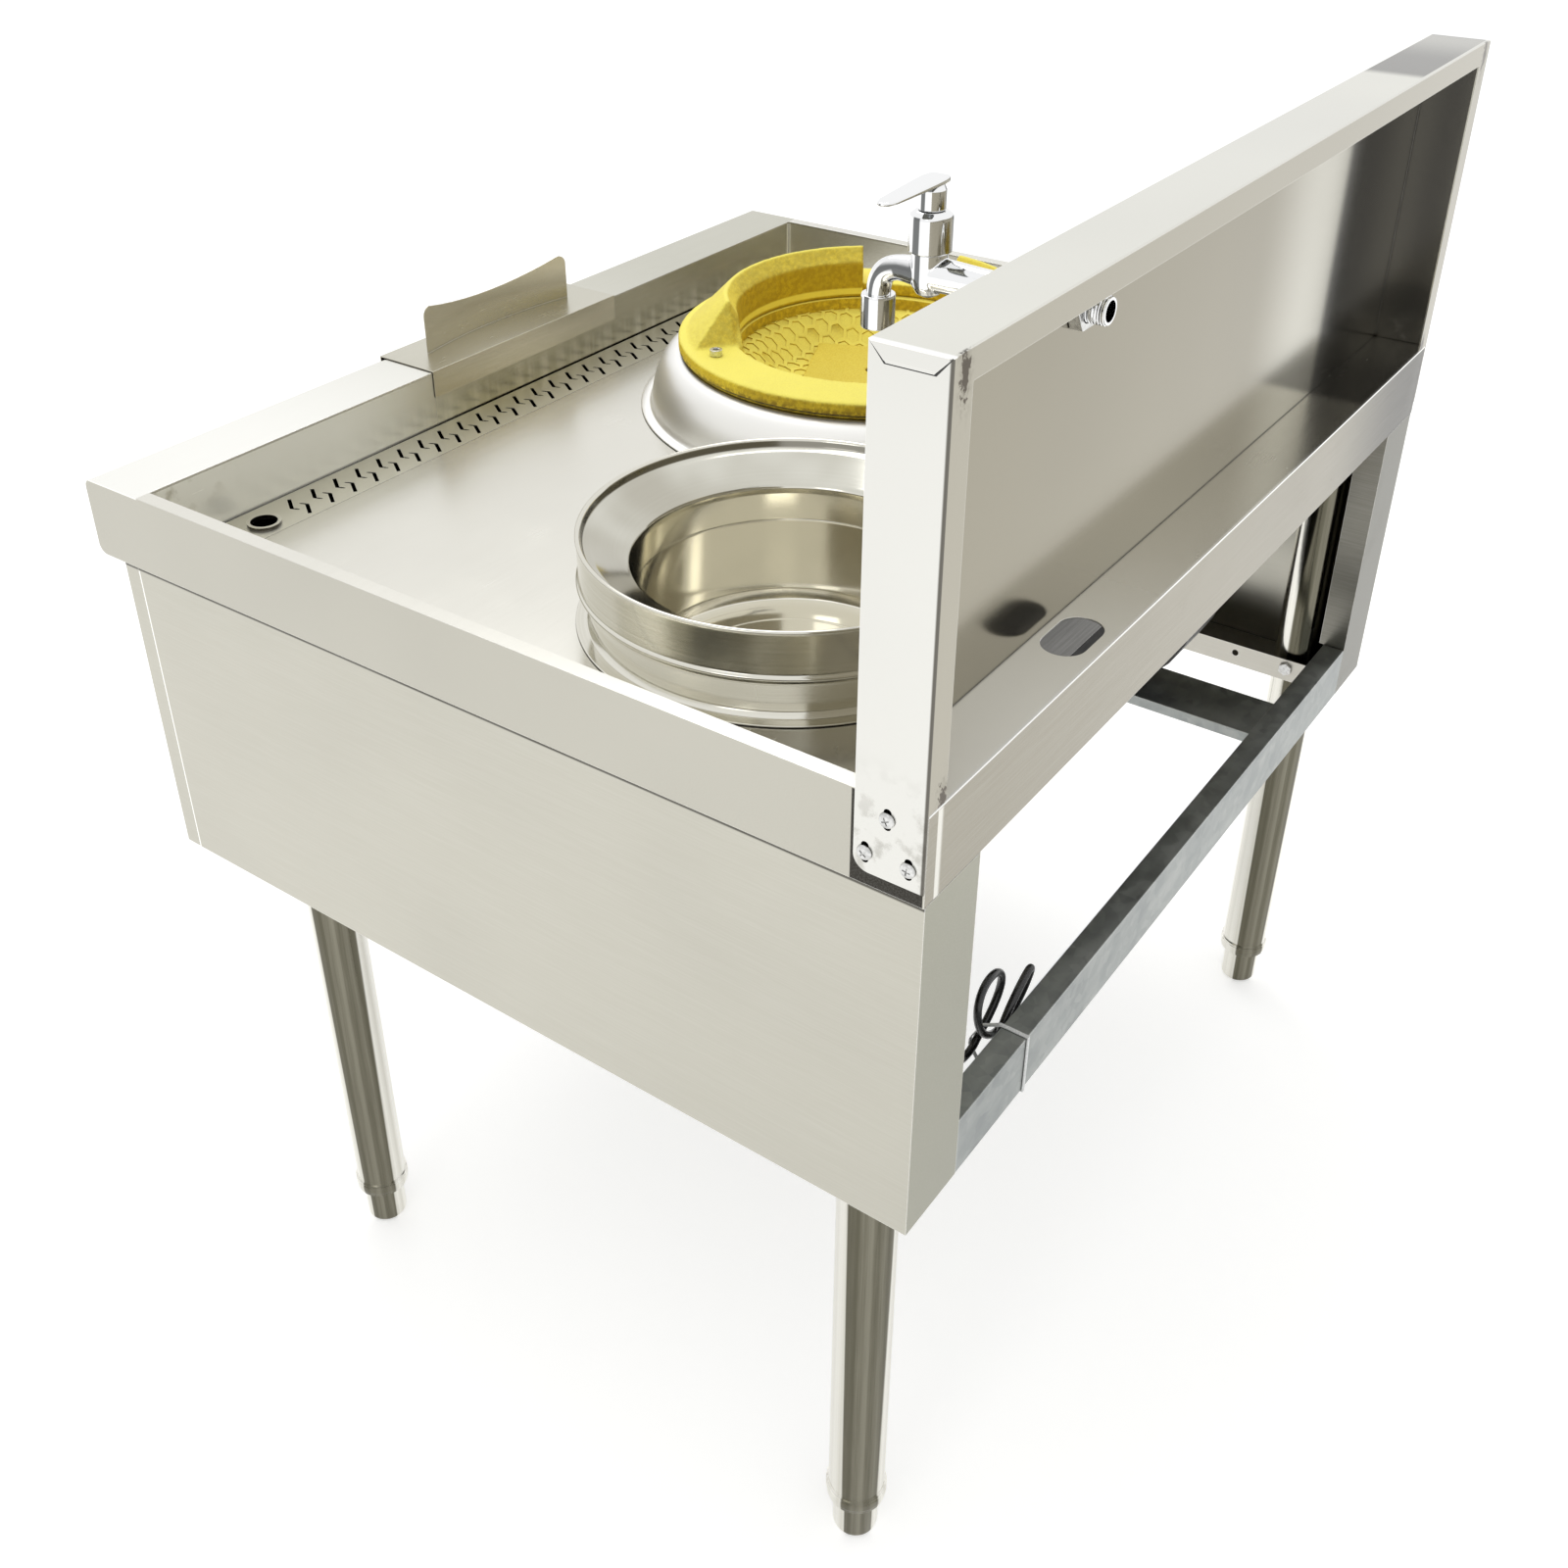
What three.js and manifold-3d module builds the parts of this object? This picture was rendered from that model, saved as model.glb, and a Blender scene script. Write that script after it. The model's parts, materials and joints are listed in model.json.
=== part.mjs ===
// A one-burner wok range with a rear water pot, in millimetres, +Z up.
// The cook stands at -Y and looks along +Y; +X is the cook's right.
// The origin is on the floor, under the middle of the deck tray.
import * as THREE from "three";
import { mergeVertices } from "three/addons/utils/BufferGeometryUtils.js";
import Module from "manifold-3d";

const wasm = await Module();
wasm.setup();

// ---------------------------------------------------------------- driving sizes

// sheet metal and clearances
const sheet = 1.5; // stainless sheet of the deck, panels and backsplash
const seatGap = 0.3; // between pieces that rest on or in each other
const runningGap = 0.5; // round a piece that slides or turns

// deck tray
const deckWidth = 1000;
const deckDepth = 868;
const rimHeight = 854; // floor to the flat rim
const skirtHeight = 74;
const sinkDepth = 56.5; // rim down to the sunk deck
const ledgeWidth = 74; // wide flat top along the front
const sideRimWidth = 14;
const shelfDepth = 58; // flat top behind the sunk deck
const cornerRadius = 9; // front corners of the skirt
const gutterWidth = 57; // channel along the foot of the front wall
const gutterDepth = 32;
const gutterLip = 5; // what the strainer rests on
const shelfSlotLength = 62; // oval pipe hole in the shelf
const shelfSlotWidth = 35;

// strainer strip over the gutter
const strainerThickness = 2;
const slotPitch = 28;
const slotCount = 28;
const slotBarLength = 20.6; // thick slanted bar of each hooked slot
const slotBarWidth = 3.4;
const slotBarLean = 33.5; // degrees from across the strip
const slotTailLength = 7.5; // thin tail from the bar's inner end
const slotTailLean = 24;
const slotElbowOut = 7.3; // bar's inner end from the middle of its pair
const slotElbowFront = 2.1;
const slotFirst = 43; // finger hole to the first pair of slots
const slotsBack = 31; // front wall to the middle of the slots
const fingerHoleRadius = 12.5;
const fingerHoleBack = 33; // front wall to the hole's middle
const fingerCollarHeight = 3;
const fingerCollarWall = 3;

// backsplash
const splashHeight = 302; // above the rim
const splashDepth = 54;
const splashTopReturn = 20;
const splashSideReturn = 22.5;
const splashTabDrop = 62; // how far the side tabs reach down over the skirt
const splashTabRadius = 12;
const foldTabHeight = 10.5; // trapezoid tab folded from the top on to the side
const foldTabThickness = 0.8;
const screwHeadRadius = 5.8;
const screwHeadHeight = 2.6;
const screwShankRadius = 2.4;
const screwSlotLength = 17;
const screwSlotWidth = 6;

// cabinet
const bodyInset = 1.5; // side panels stand in from the skirt's outer face
const bodyFront = 32; // front panel stands back from the ledge's front
const cabinetHeight = 388; // rim down to the panels' foot
const rearFlange = 73;
const rearFlangeLip = 28;
const frontFlange = 18;
const railHeight = 57;
const railDepth = 23;
const railSheet = 2;
const sideRailWidth = 76;
const sideRailLip = 26.5;
const beamWidth = 70;
const beamHeight = 12;
const beamCentreX = -244;

// legs and feet
const legRadius = 25.5;
const legWall = 1.5;
const legSideInset = 43; // tray's edges to the legs' axes
const legRearInset = 58;
const legFrontInset = 193;
const legBottom = 48;
const collarRadius = 27.7;
const collarHeight = 16;
const footRadius = 20.8;
const footHeight = 44;
const footStemRadius = 9;
const footStemTop = 112;
const legBoltRadius = 4;
const legBoltHeadRadius = 7.5;
const legBoltHeadHeight = 4;
const legBoltRise = 15.7; // panels' foot to the bolt

// burner
const burnerX = -173;
const burnerY = -35;
const flueAngle = 24.2; // from the burner towards the pot, degrees
const deckHoleRadius = 206;
const domeFootRadius = 243;
const domeTopRadius = 197;
const domeHeight = 58; // deck to the chamber's flange
const domeSheet = 2;
const ringOuterRadius = 202;
const ringBoreRadius = 141;
const ringWallInset = 1; // raised walls stand in from the ring's outer face
const ringLowBoreRadius = 147;
const ringLedgeHeight = 14;
const ringCrestHeight = 55;
const ringCrestRadius = 151;
const ringCrestWidth = 2;
const ringEdgeBevel = 2.5;
const ringSeatDrop = 17;
const ringWallA = [-143, -35]; // the two raised walls, degrees
const ringWallB = [67, 175.5];
const ringRampAngle = 9; // what the sloped end of a wall takes
const ringRampFoot = 12; // ramp's low end above the ring's foot
const ringBoltAngles = [-30, 62, -164];
const ringBoltCircle = 177;
const ringBoltRadius = 4;
const ringBoltHeadRadius = 6.5;
const ringBoltHeadHeight = 6.5;
const chamberFlange = 2.6;
const chamberRadius = 140;
const chamberWall = 5;
const dishRim = 20; // chamber flange down to the dish's edge
const dishFall = 26; // dish's edge down to its square mouth
const blockSide = 136; // cast burner block in the middle of the dish
const blockHeight = 16;
const blockPortRadius = 7;
const drumRadius = 112;
const drumHeight = 185;

// rear water pot
const potX = 254;
const potToSplash = 223; // pot's axis to the backsplash
const potRimRadius = 171.5;
const potBoreRadius = 128.5;
const potRimHeight = 80; // deck to the pot's upturned rim
const potFunnelDrop = 26;
const potBandHeight = 42;
const potDepth = 116; // funnel's foot to the pot's floor
const potWall = 1.6;
const potCollarFoot = 6;
const beadRadius = 2.4;

// tap
const tapX = 243;
const tapToSplash = 113; // tap's axis to the backsplash
const tapDrop = 55; // backsplash's top down to the pipe's axis
const tapBodyRadius = 13;
const tapPipeRadius = 10.4;
const tapPipeBore = 7.5;
const tapBonnetRadius = 15.6;
const tapBonnetHeight = 29;
const tapStemRadius = 9.8;
const tapStemHeight = 16;
const tapLeverLength = 68;
const tapLeverWidth = 16;
const spoutReach = 41;
const spoutRadius = 9;
const cupRadius = 12.6;
const cupHeight = 25;
const cupBore = 9.5;
const nippleLength = 25; // thread behind the sheet
const nutAcross = 34; // lock nut over its corners
const nutThickness = 10;

// splash guard on the front ledge
const guardX = 2;
const guardWidth = 284;
const guardSheet = 1.2;
const guardLip = 9; // outer lip
const guardDrop = 27; // inner drop
const guardPlateWidth = 218;
const guardPlateHeight = 48;
const guardPlateBulge = 11;
const guardPlateDip = 12; // top edge, lower at its middle than at its ends
const guardPlateCorner = 10;
const guardPlateBack = 34; // plate's ends back from the ledge's front edge

// controls on the front panel
const knobRadius = 21;
const knobDepth = 26;
const knobDrop = 149; // rim down to the controls' axes
const mainKnobX = -90;
const pilotKnobX = -215;
const damperKnobX = 35;
const spindleRadius = 4;
const spindleReach = 20; // how far a spindle goes into its valve
const spindleBore = 22;
const switchX = 150;
const switchWidth = 15;
const switchHeight = 21;
const switchBore = 14;

// blower under the rear of the deck
const blowerAside = 67; // burner's axis to the blower's middle
const blowerBehind = 249;
const blowerWidth = 76;
const blowerRadius = 127;
const blowerInlet = 52;
const ductWidth = 62;
const ductHeight = 52;
const impellerRadius = 98;
const impellerWidth = 46;
const motorRadius = 44;
const motorLength = 78;

// gas line, drain and the two boxes
const gasPipeRadius = 11;
const gasPipeWall = 3;
const gasPipeBehind = 48; // front panel to the manifold's axis
const gasPipeEnd = 25; // main valve to the manifold's closed end
const gasSupplyAside = 105; // pilot valve to the supply pipe
const gasInletDepth = 60;
const gasNutWall = 4;
const gasNutLength = 23;
const gasNutInset = 1; // supply pipe's end to its nut
const valveSide = 34;
const valveBack = 15; // manifold's axis to a valve's back
const valveNeckRadius = 12;
const valveNeckLength = 6;
const fanBoxDepth = 46;
const fanBoxHeight = 60;
const fanBoxPastKnob = 30;
const fanBoxPastSwitch = 32;
const drainPipeRadius = 19;
const drainX = 398;
const drainLength = 120;
const boxDepth = 54;
const boxWidth = 84;
const boxHeight = 78;
const boxRearInset = 184; // tray's rear to the box's front
const boxRise = 104; // panels' foot to the box's

// mains lead and its tie
const cordRadius = 3.5;
const cordSides = 8;
const hankLoops = 2; // two loops drawn together by a tie on the rear rail
const hankInset = 193; // tray's right edge to where the loops meet, beside the tie
const hankDrop = 24; // rear rail's top down to there
const hankStep = 8.6; // from loop to loop, away from the rail
const hankLean = [-60, 2]; // each loop's lean from upright, degrees, the first nearest the rail
const hankReach = [66, 60];
const hankSpread = [22, 33]; // half the width of each loop
const tieInset = 184; // tray's right edge to the tie
const tieWidth = 3.6;
const tieThickness = 1.3;
const plugLength = 42;
const plugWidth = 36;
const plugHeight = 27;
const plugInset = 41; // tray's right edge to the plug's middle
const plugRearInset = 172; // tray's rear to where the lead goes into the plug

// ---------------------------------------------------------------- worked-out planes

const halfWidth = deckWidth / 2;
const frontY = -deckDepth / 2;
const rearY = deckDepth / 2;
const deckZ = rimHeight - sinkDepth; // top of the sunk deck
const deckUnder = deckZ - sheet;
const skirtZ = rimHeight - skirtHeight;
const panFront = frontY + ledgeWidth;
const panRear = rearY - shelfDepth;
const panHalf = halfWidth - sideRimWidth;
const gutterRear = panFront + gutterWidth;
const bodyHalf = halfWidth - bodyInset;
const bodyFrontY = frontY + bodyFront;
const bodyBottom = rimHeight - cabinetHeight;
const railTop = bodyBottom + railHeight;
const splashFront = rearY - splashDepth;
const splashTop = rimHeight + splashHeight;
const splashHalf = halfWidth + seatGap + sheet;
const legX = halfWidth - legSideInset;
const legRearY = rearY - legRearInset;
const legFrontY = frontY + legFrontInset;
const potY = splashFront - potToSplash;
const tapY = splashFront - tapToSplash;
const tapZ = splashTop - tapDrop;
const knobZ = rimHeight - knobDrop;

// ---------------------------------------------------------------- finishes

const finish = (color, roughness, metalness) =>
  new THREE.MeshStandardMaterial({ color, roughness, metalness });
const stainless = finish(0xc9c7bf, 0.32, 1);
const polished = finish(0xd4d3cf, 0.12, 1);
const galvanised = finish(0x8d979e, 0.45, 1);
const chrome = finish(0xe2e4e6, 0.06, 1);
const yellowIron = finish(0xd9c02c, 0.7, 0);
const darkIron = finish(0x33312f, 0.75, 0.3);
const zinc = finish(0xb4b6b5, 0.3, 1);
const blackPlastic = finish(0x17181a, 0.5, 0);
const redPlastic = finish(0xa8201c, 0.35, 0);
const blackRubber = finish(0x101011, 0.6, 0);
const whitePlastic = finish(0xe9e9e4, 0.4, 0);
const brass = finish(0xb08d3f, 0.3, 1);

// ---------------------------------------------------------------- shape helpers

const radians = THREE.MathUtils.degToRad;

// A closed solid from a geometry: shared vertices merged, faces turned outwards.
function solid(geometry) {
  const bare = new THREE.BufferGeometry();
  bare.setAttribute("position", geometry.getAttribute("position"));
  if (geometry.index) bare.setIndex(geometry.index);
  const merged = mergeVertices(bare, 1e-4);
  const position = merged.getAttribute("position").array;
  const corners = [];
  let volume = 0;
  const at = (i) => new THREE.Vector3().fromArray(position, 3 * i);
  for (let i = 0; i < merged.index.count; i += 3) {
    const [a, b, c] = merged.index.array.slice(i, i + 3);
    if (a === b || b === c || a === c) continue;
    corners.push(a, b, c);
    volume += at(a).dot(at(b).cross(at(c)));
  }
  if (volume < 0) corners.reverse();
  return new wasm.Manifold(
    new wasm.Mesh({
      numProp: 3,
      vertProperties: new Float32Array(position),
      triVerts: new Uint32Array(corners),
    }),
  );
}

const join = (...parts) => parts.reduce((a, b) => a.add(b));
const cut = (whole, ...parts) => parts.reduce((a, b) => a.subtract(b), whole);

function block(x0, x1, y0, y1, z0, z1) {
  const box = new THREE.BoxGeometry(x1 - x0, y1 - y0, z1 - z0);
  return solid(box.translate((x0 + x1) / 2, (y0 + y1) / 2, (z0 + z1) / 2));
}

// The shape's own axes laid along two of the part's axes, and the way it is extruded.
const planes = {
  x: [new THREE.Vector3(0, 1, 0), new THREE.Vector3(0, 0, 1), new THREE.Vector3(1, 0, 0)],
  y: [new THREE.Vector3(0, 0, 1), new THREE.Vector3(1, 0, 0), new THREE.Vector3(0, 1, 0)],
  z: [new THREE.Vector3(1, 0, 0), new THREE.Vector3(0, 1, 0), new THREE.Vector3(0, 0, 1)],
};

// A shape pushed along an axis. On x its points are (y, z), on y (z, x), on z (x, y).
function prism(shape, axis, from, to, curveSegments = 8) {
  const options = { depth: to - from, bevelEnabled: false, curveSegments };
  const geometry = new THREE.ExtrudeGeometry(shape, options).translate(0, 0, from);
  return solid(geometry.applyMatrix4(new THREE.Matrix4().makeBasis(...planes[axis])));
}

const outline = (points) => new THREE.Shape(points.map(([a, b]) => new THREE.Vector2(a, b)));

function circle(radius, a = 0, b = 0, segments = 24) {
  const turn = (i) => (2 * Math.PI * (i + 0.5)) / segments;
  const ring = Array.from({ length: segments }, (_, i) => turn(i));
  return outline(ring.map((t) => [a + radius * Math.cos(t), b + radius * Math.sin(t)]));
}

// A rectangle with round ends or corners, by its centre.
function roundedBox(a, b, width, height, radius) {
  const [w, h] = [width / 2 - radius, height / 2 - radius];
  const shape = new THREE.Shape();
  shape.absarc(a + w, b + h, radius, 0, Math.PI / 2);
  shape.absarc(a - w, b + h, radius, Math.PI / 2, Math.PI);
  shape.absarc(a - w, b - h, radius, Math.PI, 1.5 * Math.PI);
  shape.absarc(a + w, b - h, radius, 1.5 * Math.PI, 2 * Math.PI);
  shape.closePath();
  return shape;
}

const rod = (radius, axis, a, b, from, to, segments = 20) =>
  prism(circle(radius, a, b, segments), axis, from, to);

// A profile of (radius, height) points turned round a vertical axis.
function turned(profile, x, y, segments = 48) {
  const points = profile.map(([r, z]) => new THREE.Vector2(r, z));
  if (profile[0][0] > 0) points.push(points[0].clone());
  const lathe = new THREE.LatheGeometry(points, segments);
  return solid(lathe.rotateX(Math.PI / 2).translate(x, y, 0));
}

// A profile over part of a turn, with a flat face at each end. It may change along the way.
function sector(profileAt, x, y, segments, start, end) {
  const vertices = [];
  const rings = Array.from({ length: segments + 1 }, (_, i) => profileAt(i / segments));
  const count = rings[0].length;
  rings.forEach((ring, i) => {
    const angle = radians(start + ((end - start) * i) / segments);
    for (const [r, z] of ring) vertices.push(x + r * Math.cos(angle), y + r * Math.sin(angle), z);
  });
  const faces = [];
  for (let step = 0; step < segments; step++) {
    for (let i = 0; i < count; i++) {
      const [a, b] = [step * count + i, step * count + ((i + 1) % count)];
      faces.push(a, a + count, b, b, a + count, b + count);
    }
  }
  const lastRing = segments * count;
  const capOf = (ring) =>
    THREE.ShapeUtils.triangulateShape(ring.map(([r, z]) => new THREE.Vector2(r, z)), []);
  for (const [a, b, c] of capOf(rings[0])) faces.push(a, b, c);
  for (const [a, b, c] of capOf(rings.at(-1))) faces.push(lastRing + c, lastRing + b, lastRing + a);
  const geometry = new THREE.BufferGeometry();
  geometry.setAttribute("position", new THREE.Float32BufferAttribute(vertices, 3));
  return solid(geometry.setIndex(faces));
}

// A round tube or bar along a smooth curve through the points.
function bar(points, radius, sides = 10, stepLength = 2.5 * radius, most = 80) {
  const curve = new THREE.CatmullRomCurve3(points.map((p) => new THREE.Vector3(...p)));
  const steps = Math.min(most, Math.ceil(curve.getLength() / stepLength));
  const section = circle(radius, 0, 0, sides);
  const options = { steps, extrudePath: curve, bevelEnabled: false };
  return solid(new THREE.ExtrudeGeometry(section, options));
}

const range = new THREE.Group();

function place(name, shape, material) {
  const made = shape.getMesh();
  const geometry = new THREE.BufferGeometry();
  geometry.setAttribute("position", new THREE.BufferAttribute(made.vertProperties, 3));
  geometry.setIndex(new THREE.BufferAttribute(made.triVerts, 1));
  const mesh = new THREE.Mesh(geometry.toNonIndexed(), material);
  mesh.geometry.computeVertexNormals();
  mesh.name = name;
  range.add(mesh);
}

const sides = [
  ["left", -1],
  ["right", 1],
];

// ---------------------------------------------------------------- deck tray

const ledgeProfile = (inset) => {
  const [front, low, top] = [frontY + inset, skirtZ + inset, rimHeight - inset];
  const radius = cornerRadius - inset;
  const shape = new THREE.Shape();
  shape.moveTo(rearY - inset, low);
  shape.lineTo(rearY - inset, top);
  shape.lineTo(front + radius, top);
  shape.absarc(front + radius, top - radius, radius, Math.PI / 2, Math.PI);
  shape.lineTo(front, low + radius);
  shape.absarc(front + radius, low + radius, radius, Math.PI, 1.5 * Math.PI);
  return shape;
};

const strainerSeat = deckZ - strainerThickness - seatGap;
const gutterMid = (panFront + gutterRear) / 2;
const gutterFloor = deckZ - gutterDepth;
const potHoleRadius = potBoreRadius + 22;
const shelfSlotX = tapX + 4;
const shelfSlotY = rearY - shelfSlotWidth / 2 - 11;
const apronReturn = 20;

// Where each backsplash screw sits, (y, z): one high, two low.
const splashMid = (splashFront + rearY) / 2;
const screwSeats = [
  ["top", splashMid - 2, rimHeight - 13.5],
  ["front", splashMid - 18, rimHeight - 46],
  ["rear", splashMid + 15, rimHeight - 46],
];

// Clearance holes for the backsplash screws, through whatever lies between two x planes.
const screwHoles = (x0, x1) =>
  screwSeats.map(([, y, z]) => rod(screwShankRadius + seatGap, "x", y, z, x0, x1, 8));

function deckTray() {
  const shell = cut(
    prism(ledgeProfile(0), "x", -halfWidth, halfWidth, 5),
    prism(ledgeProfile(sheet), "x", sheet - halfWidth, halfWidth - sheet, 5),
    block(sheet - halfWidth, halfWidth - sheet, frontY + apronReturn, rearY - sheet, skirtZ - 1, deckZ),
  );
  const panOuter = panHalf + sheet;
  const pan = block(-panOuter, panOuter, panFront - sheet, panRear + sheet, deckUnder, rimHeight);
  const step = block(-panHalf - sheet, panHalf + sheet, panFront - sheet, gutterRear + sheet,
    strainerSeat - sheet, deckZ);
  const [lipFront, lipRear, lipHalf] = [panFront + gutterLip, gutterRear - gutterLip, panHalf - gutterLip];
  const gutter = block(-lipHalf - sheet, lipHalf + sheet, lipFront - sheet, lipRear + sheet,
    gutterFloor - sheet, strainerSeat);
  const drain = rod(drainPipeRadius, "z", drainX, gutterMid, gutterFloor - drainLength, gutterFloor, 20);
  return cut(
    join(shell, pan, step, gutter, drain),
    block(-panHalf, panHalf, panFront, panRear, deckZ, rimHeight + 1),
    block(-panHalf, panHalf, panFront, gutterRear, strainerSeat, deckZ + 1),
    block(-lipHalf, lipHalf, lipFront, lipRear, gutterFloor, deckZ),
    rod(drainPipeRadius - sheet, "z", drainX, gutterMid, gutterFloor - drainLength - 1, deckZ, 20),
    rod(deckHoleRadius, "z", burnerX, burnerY, deckZ - 10, deckZ + 1, 48),
    rod(potHoleRadius, "z", potX, potY, deckZ - 10, deckZ + 1, 40),
    prism(
      roundedBox(shelfSlotX, shelfSlotY, shelfSlotLength, shelfSlotWidth, shelfSlotWidth / 2 - 0.1),
      "z", rimHeight - 5, rimHeight + 1, 4),
    ...screwHoles(-halfWidth - 1, halfWidth + 1),
  );
}
place("deck_tray", deckTray(), stainless);

// ---------------------------------------------------------------- strainer strip

const strainerFront = panFront + gutterLip / 2;
const strainerRear = gutterRear - runningGap;
const strainerHalf = panHalf - runningGap;

// One of a pair of hooked slots: a thick slanted bar with a thin tail. The other is it turned half round.
function hookedSlot(x, y, half) {
  const [lean, tailLean] = [radians(slotBarLean), radians(slotTailLean)];
  const [alongX, alongY] = [Math.sin(lean), Math.cos(lean)];
  const [elbowX, elbowY] = [slotElbowOut, -slotElbowFront];
  const [outX, outY] = [(alongY * slotBarWidth) / 2, (-alongX * slotBarWidth) / 2];
  const [footX, footY] = [elbowX - slotBarLength * alongX, elbowY - slotBarLength * alongY];
  const tipX = elbowX - slotTailLength * Math.sin(tailLean);
  const tipY = elbowY + slotTailLength * Math.cos(tailLean);
  const points = [
    [footX + outX, footY + outY],
    [elbowX + outX, elbowY + outY],
    [tipX, tipY],
    [elbowX - outX, elbowY - outY],
    [footX - outX, footY - outY],
  ];
  return prism(outline(points.map(([a, b]) => [x + half * a, y + half * b])), "z", deckZ - 10, deckZ + 10);
}

function strainerStrip() {
  const holeY = panFront + fingerHoleBack;
  const plate = block(-strainerHalf, strainerHalf, strainerFront, strainerRear,
    deckZ - strainerThickness, deckZ);
  const collar = rod(fingerHoleRadius + fingerCollarWall, "z", drainX, holeY,
    deckZ - strainerThickness, deckZ + fingerCollarHeight, 20);
  const hole = rod(fingerHoleRadius, "z", drainX, holeY, deckZ - 10, deckZ + 10, 20);
  const slots = [];
  for (let i = 0; i < slotCount; i++) {
    const x = drainX - slotFirst - i * slotPitch;
    for (const half of [1, -1]) slots.push(hookedSlot(x, panFront + slotsBack, half));
  }
  return cut(join(plate, collar), hole, ...slots);
}
place("strainer_strip", strainerStrip(), stainless);

// ---------------------------------------------------------------- splash guard

// The circle through the ends of a chord and a point this far off the chord's middle.
function arcOver(halfChord, rise) {
  const radius = (halfChord * halfChord + rise * rise) / (2 * rise);
  const spread = Math.asin(halfChord / radius);
  return { radius, spread, from: -Math.PI / 2 - spread, to: -Math.PI / 2 + spread };
}

function splashGuard() {
  const [low, high] = [rimHeight + seatGap, rimHeight + seatGap + guardSheet];
  const [x0, x1] = [guardX - guardWidth / 2, guardX + guardWidth / 2];
  const [outerY, innerY] = [frontY - seatGap, panFront + seatGap];
  const top = block(x0, x1, outerY - guardSheet, innerY + guardSheet, low, high);
  const lip = block(x0, x1, outerY - guardSheet, outerY, rimHeight - guardLip, high);
  const drop = block(x0, x1, innerY, innerY + guardSheet, rimHeight - guardDrop, high);
  // The upright plate is an arc in plan that bulges towards the cook.
  const half = guardPlateWidth / 2;
  const bow = arcOver(half, guardPlateBulge);
  const centreY = frontY + guardPlateBack + bow.radius - guardPlateBulge;
  const band = new THREE.Shape();
  band.absarc(guardX, centreY, bow.radius, bow.from, bow.to);
  band.absarc(guardX, centreY, bow.radius - guardSheet, bow.to, bow.from, true);
  const plateTop = high + guardPlateHeight;
  const face = roundedBox(high, guardX, 2 * guardPlateHeight, guardPlateWidth, guardPlateCorner);
  // Its top edge dips in a shallow arc from one rounded corner to the other.
  const dip = arcOver(half - guardPlateCorner, guardPlateDip);
  const hollow = new THREE.Shape();
  hollow.absarc(plateTop + dip.radius - guardPlateDip, guardX, dip.radius, Math.PI - dip.spread,
    Math.PI + dip.spread);
  hollow.lineTo(plateTop + 1, guardX - half + guardPlateCorner);
  hollow.lineTo(plateTop + 1, guardX + half - guardPlateCorner);
  const plate = prism(band, "z", low + guardSheet / 2, plateTop, 8).intersect(
    prism(face, "y", frontY, panFront, 5),
  );
  return join(top, lip, drop, cut(plate, prism(hollow, "y", frontY, panFront, 5)));
}
place("splash_guard", splashGuard(), stainless);

// ---------------------------------------------------------------- backsplash and its screws

function backsplash() {
  const foot = rimHeight + seatGap;
  const inner = splashHalf - sheet;
  const shell = cut(
    block(-splashHalf, splashHalf, splashFront, rearY, foot, splashTop),
    block(-inner, inner, splashFront + sheet, rearY + 1, foot - 1, splashTop - sheet),
  );
  const topReturn = block(-splashHalf, splashHalf, rearY - sheet, rearY,
    splashTop - splashTopReturn, splashTop);
  const pieces = [shell, topReturn];
  for (const [, side] of sides) {
    const across = (a, b) => [Math.min(side * a, side * b), Math.max(side * a, side * b)];
    pieces.push(block(...across(splashHalf - splashSideReturn, splashHalf), rearY - sheet, rearY,
      foot, splashTop));
    const tabLow = rimHeight - splashTabDrop;
    const tab = new THREE.Shape();
    tab.moveTo(splashFront, foot + sheet);
    tab.lineTo(splashFront, tabLow + splashTabRadius);
    const [roundY, roundZ] = [splashFront + splashTabRadius, tabLow + splashTabRadius];
    tab.absarc(roundY, roundZ, splashTabRadius, Math.PI, 1.5 * Math.PI);
    tab.lineTo(rearY, tabLow);
    tab.lineTo(rearY, foot + sheet);
    const slots = screwSeats.map(([, y, z]) =>
      prism(roundedBox(y, z, screwSlotWidth, screwSlotLength, screwSlotWidth / 2 - 0.1), "x",
        ...across(inner - 1, splashHalf + 1), 2));
    pieces.push(cut(prism(tab, "x", ...across(inner, splashHalf), 5), ...slots));
    const fold = outline([
      [splashFront + 1, splashTop - 0.5],
      [splashFront + foldTabHeight, splashTop - foldTabHeight],
      [rearY - foldTabHeight, splashTop - foldTabHeight],
      [rearY - 1, splashTop - 0.5],
    ]);
    pieces.push(prism(fold, "x", ...across(splashHalf - sheet / 2, splashHalf + foldTabThickness)));
  }
  const tapHole = rod(tapPipeRadius + seatGap, "y", tapZ, tapX, splashFront - 1, splashFront + 5, 28);
  return cut(join(...pieces), tapHole);
}
place("backsplash", backsplash(), stainless);

const screwTip = halfWidth - 9;
for (const [sideName, side] of sides) {
  for (const [seatName, y, z] of screwSeats) {
    const headFoot = splashHalf + seatGap;
    const headTop = headFoot + screwHeadHeight;
    const along = (a, b) => [Math.min(side * a, side * b), Math.max(side * a, side * b)];
    const arm = 3.2;
    const recess = (dy, dz) =>
      block(...along(headTop - 1.3, headTop + 1), y - dy, y + dy, z - dz, z + dz);
    const screw = cut(
      join(
        rod(screwHeadRadius, "x", y, z, ...along(headFoot, headTop), 12),
        rod(screwShankRadius, "x", y, z, ...along(screwTip, headFoot + 0.5), 8),
      ),
      recess(arm, 0.6),
      recess(0.6, arm),
    );
    place(`backsplash_screw_${sideName}_${seatName}`, screw, zinc);
  }
}

// ---------------------------------------------------------------- cabinet panels

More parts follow.
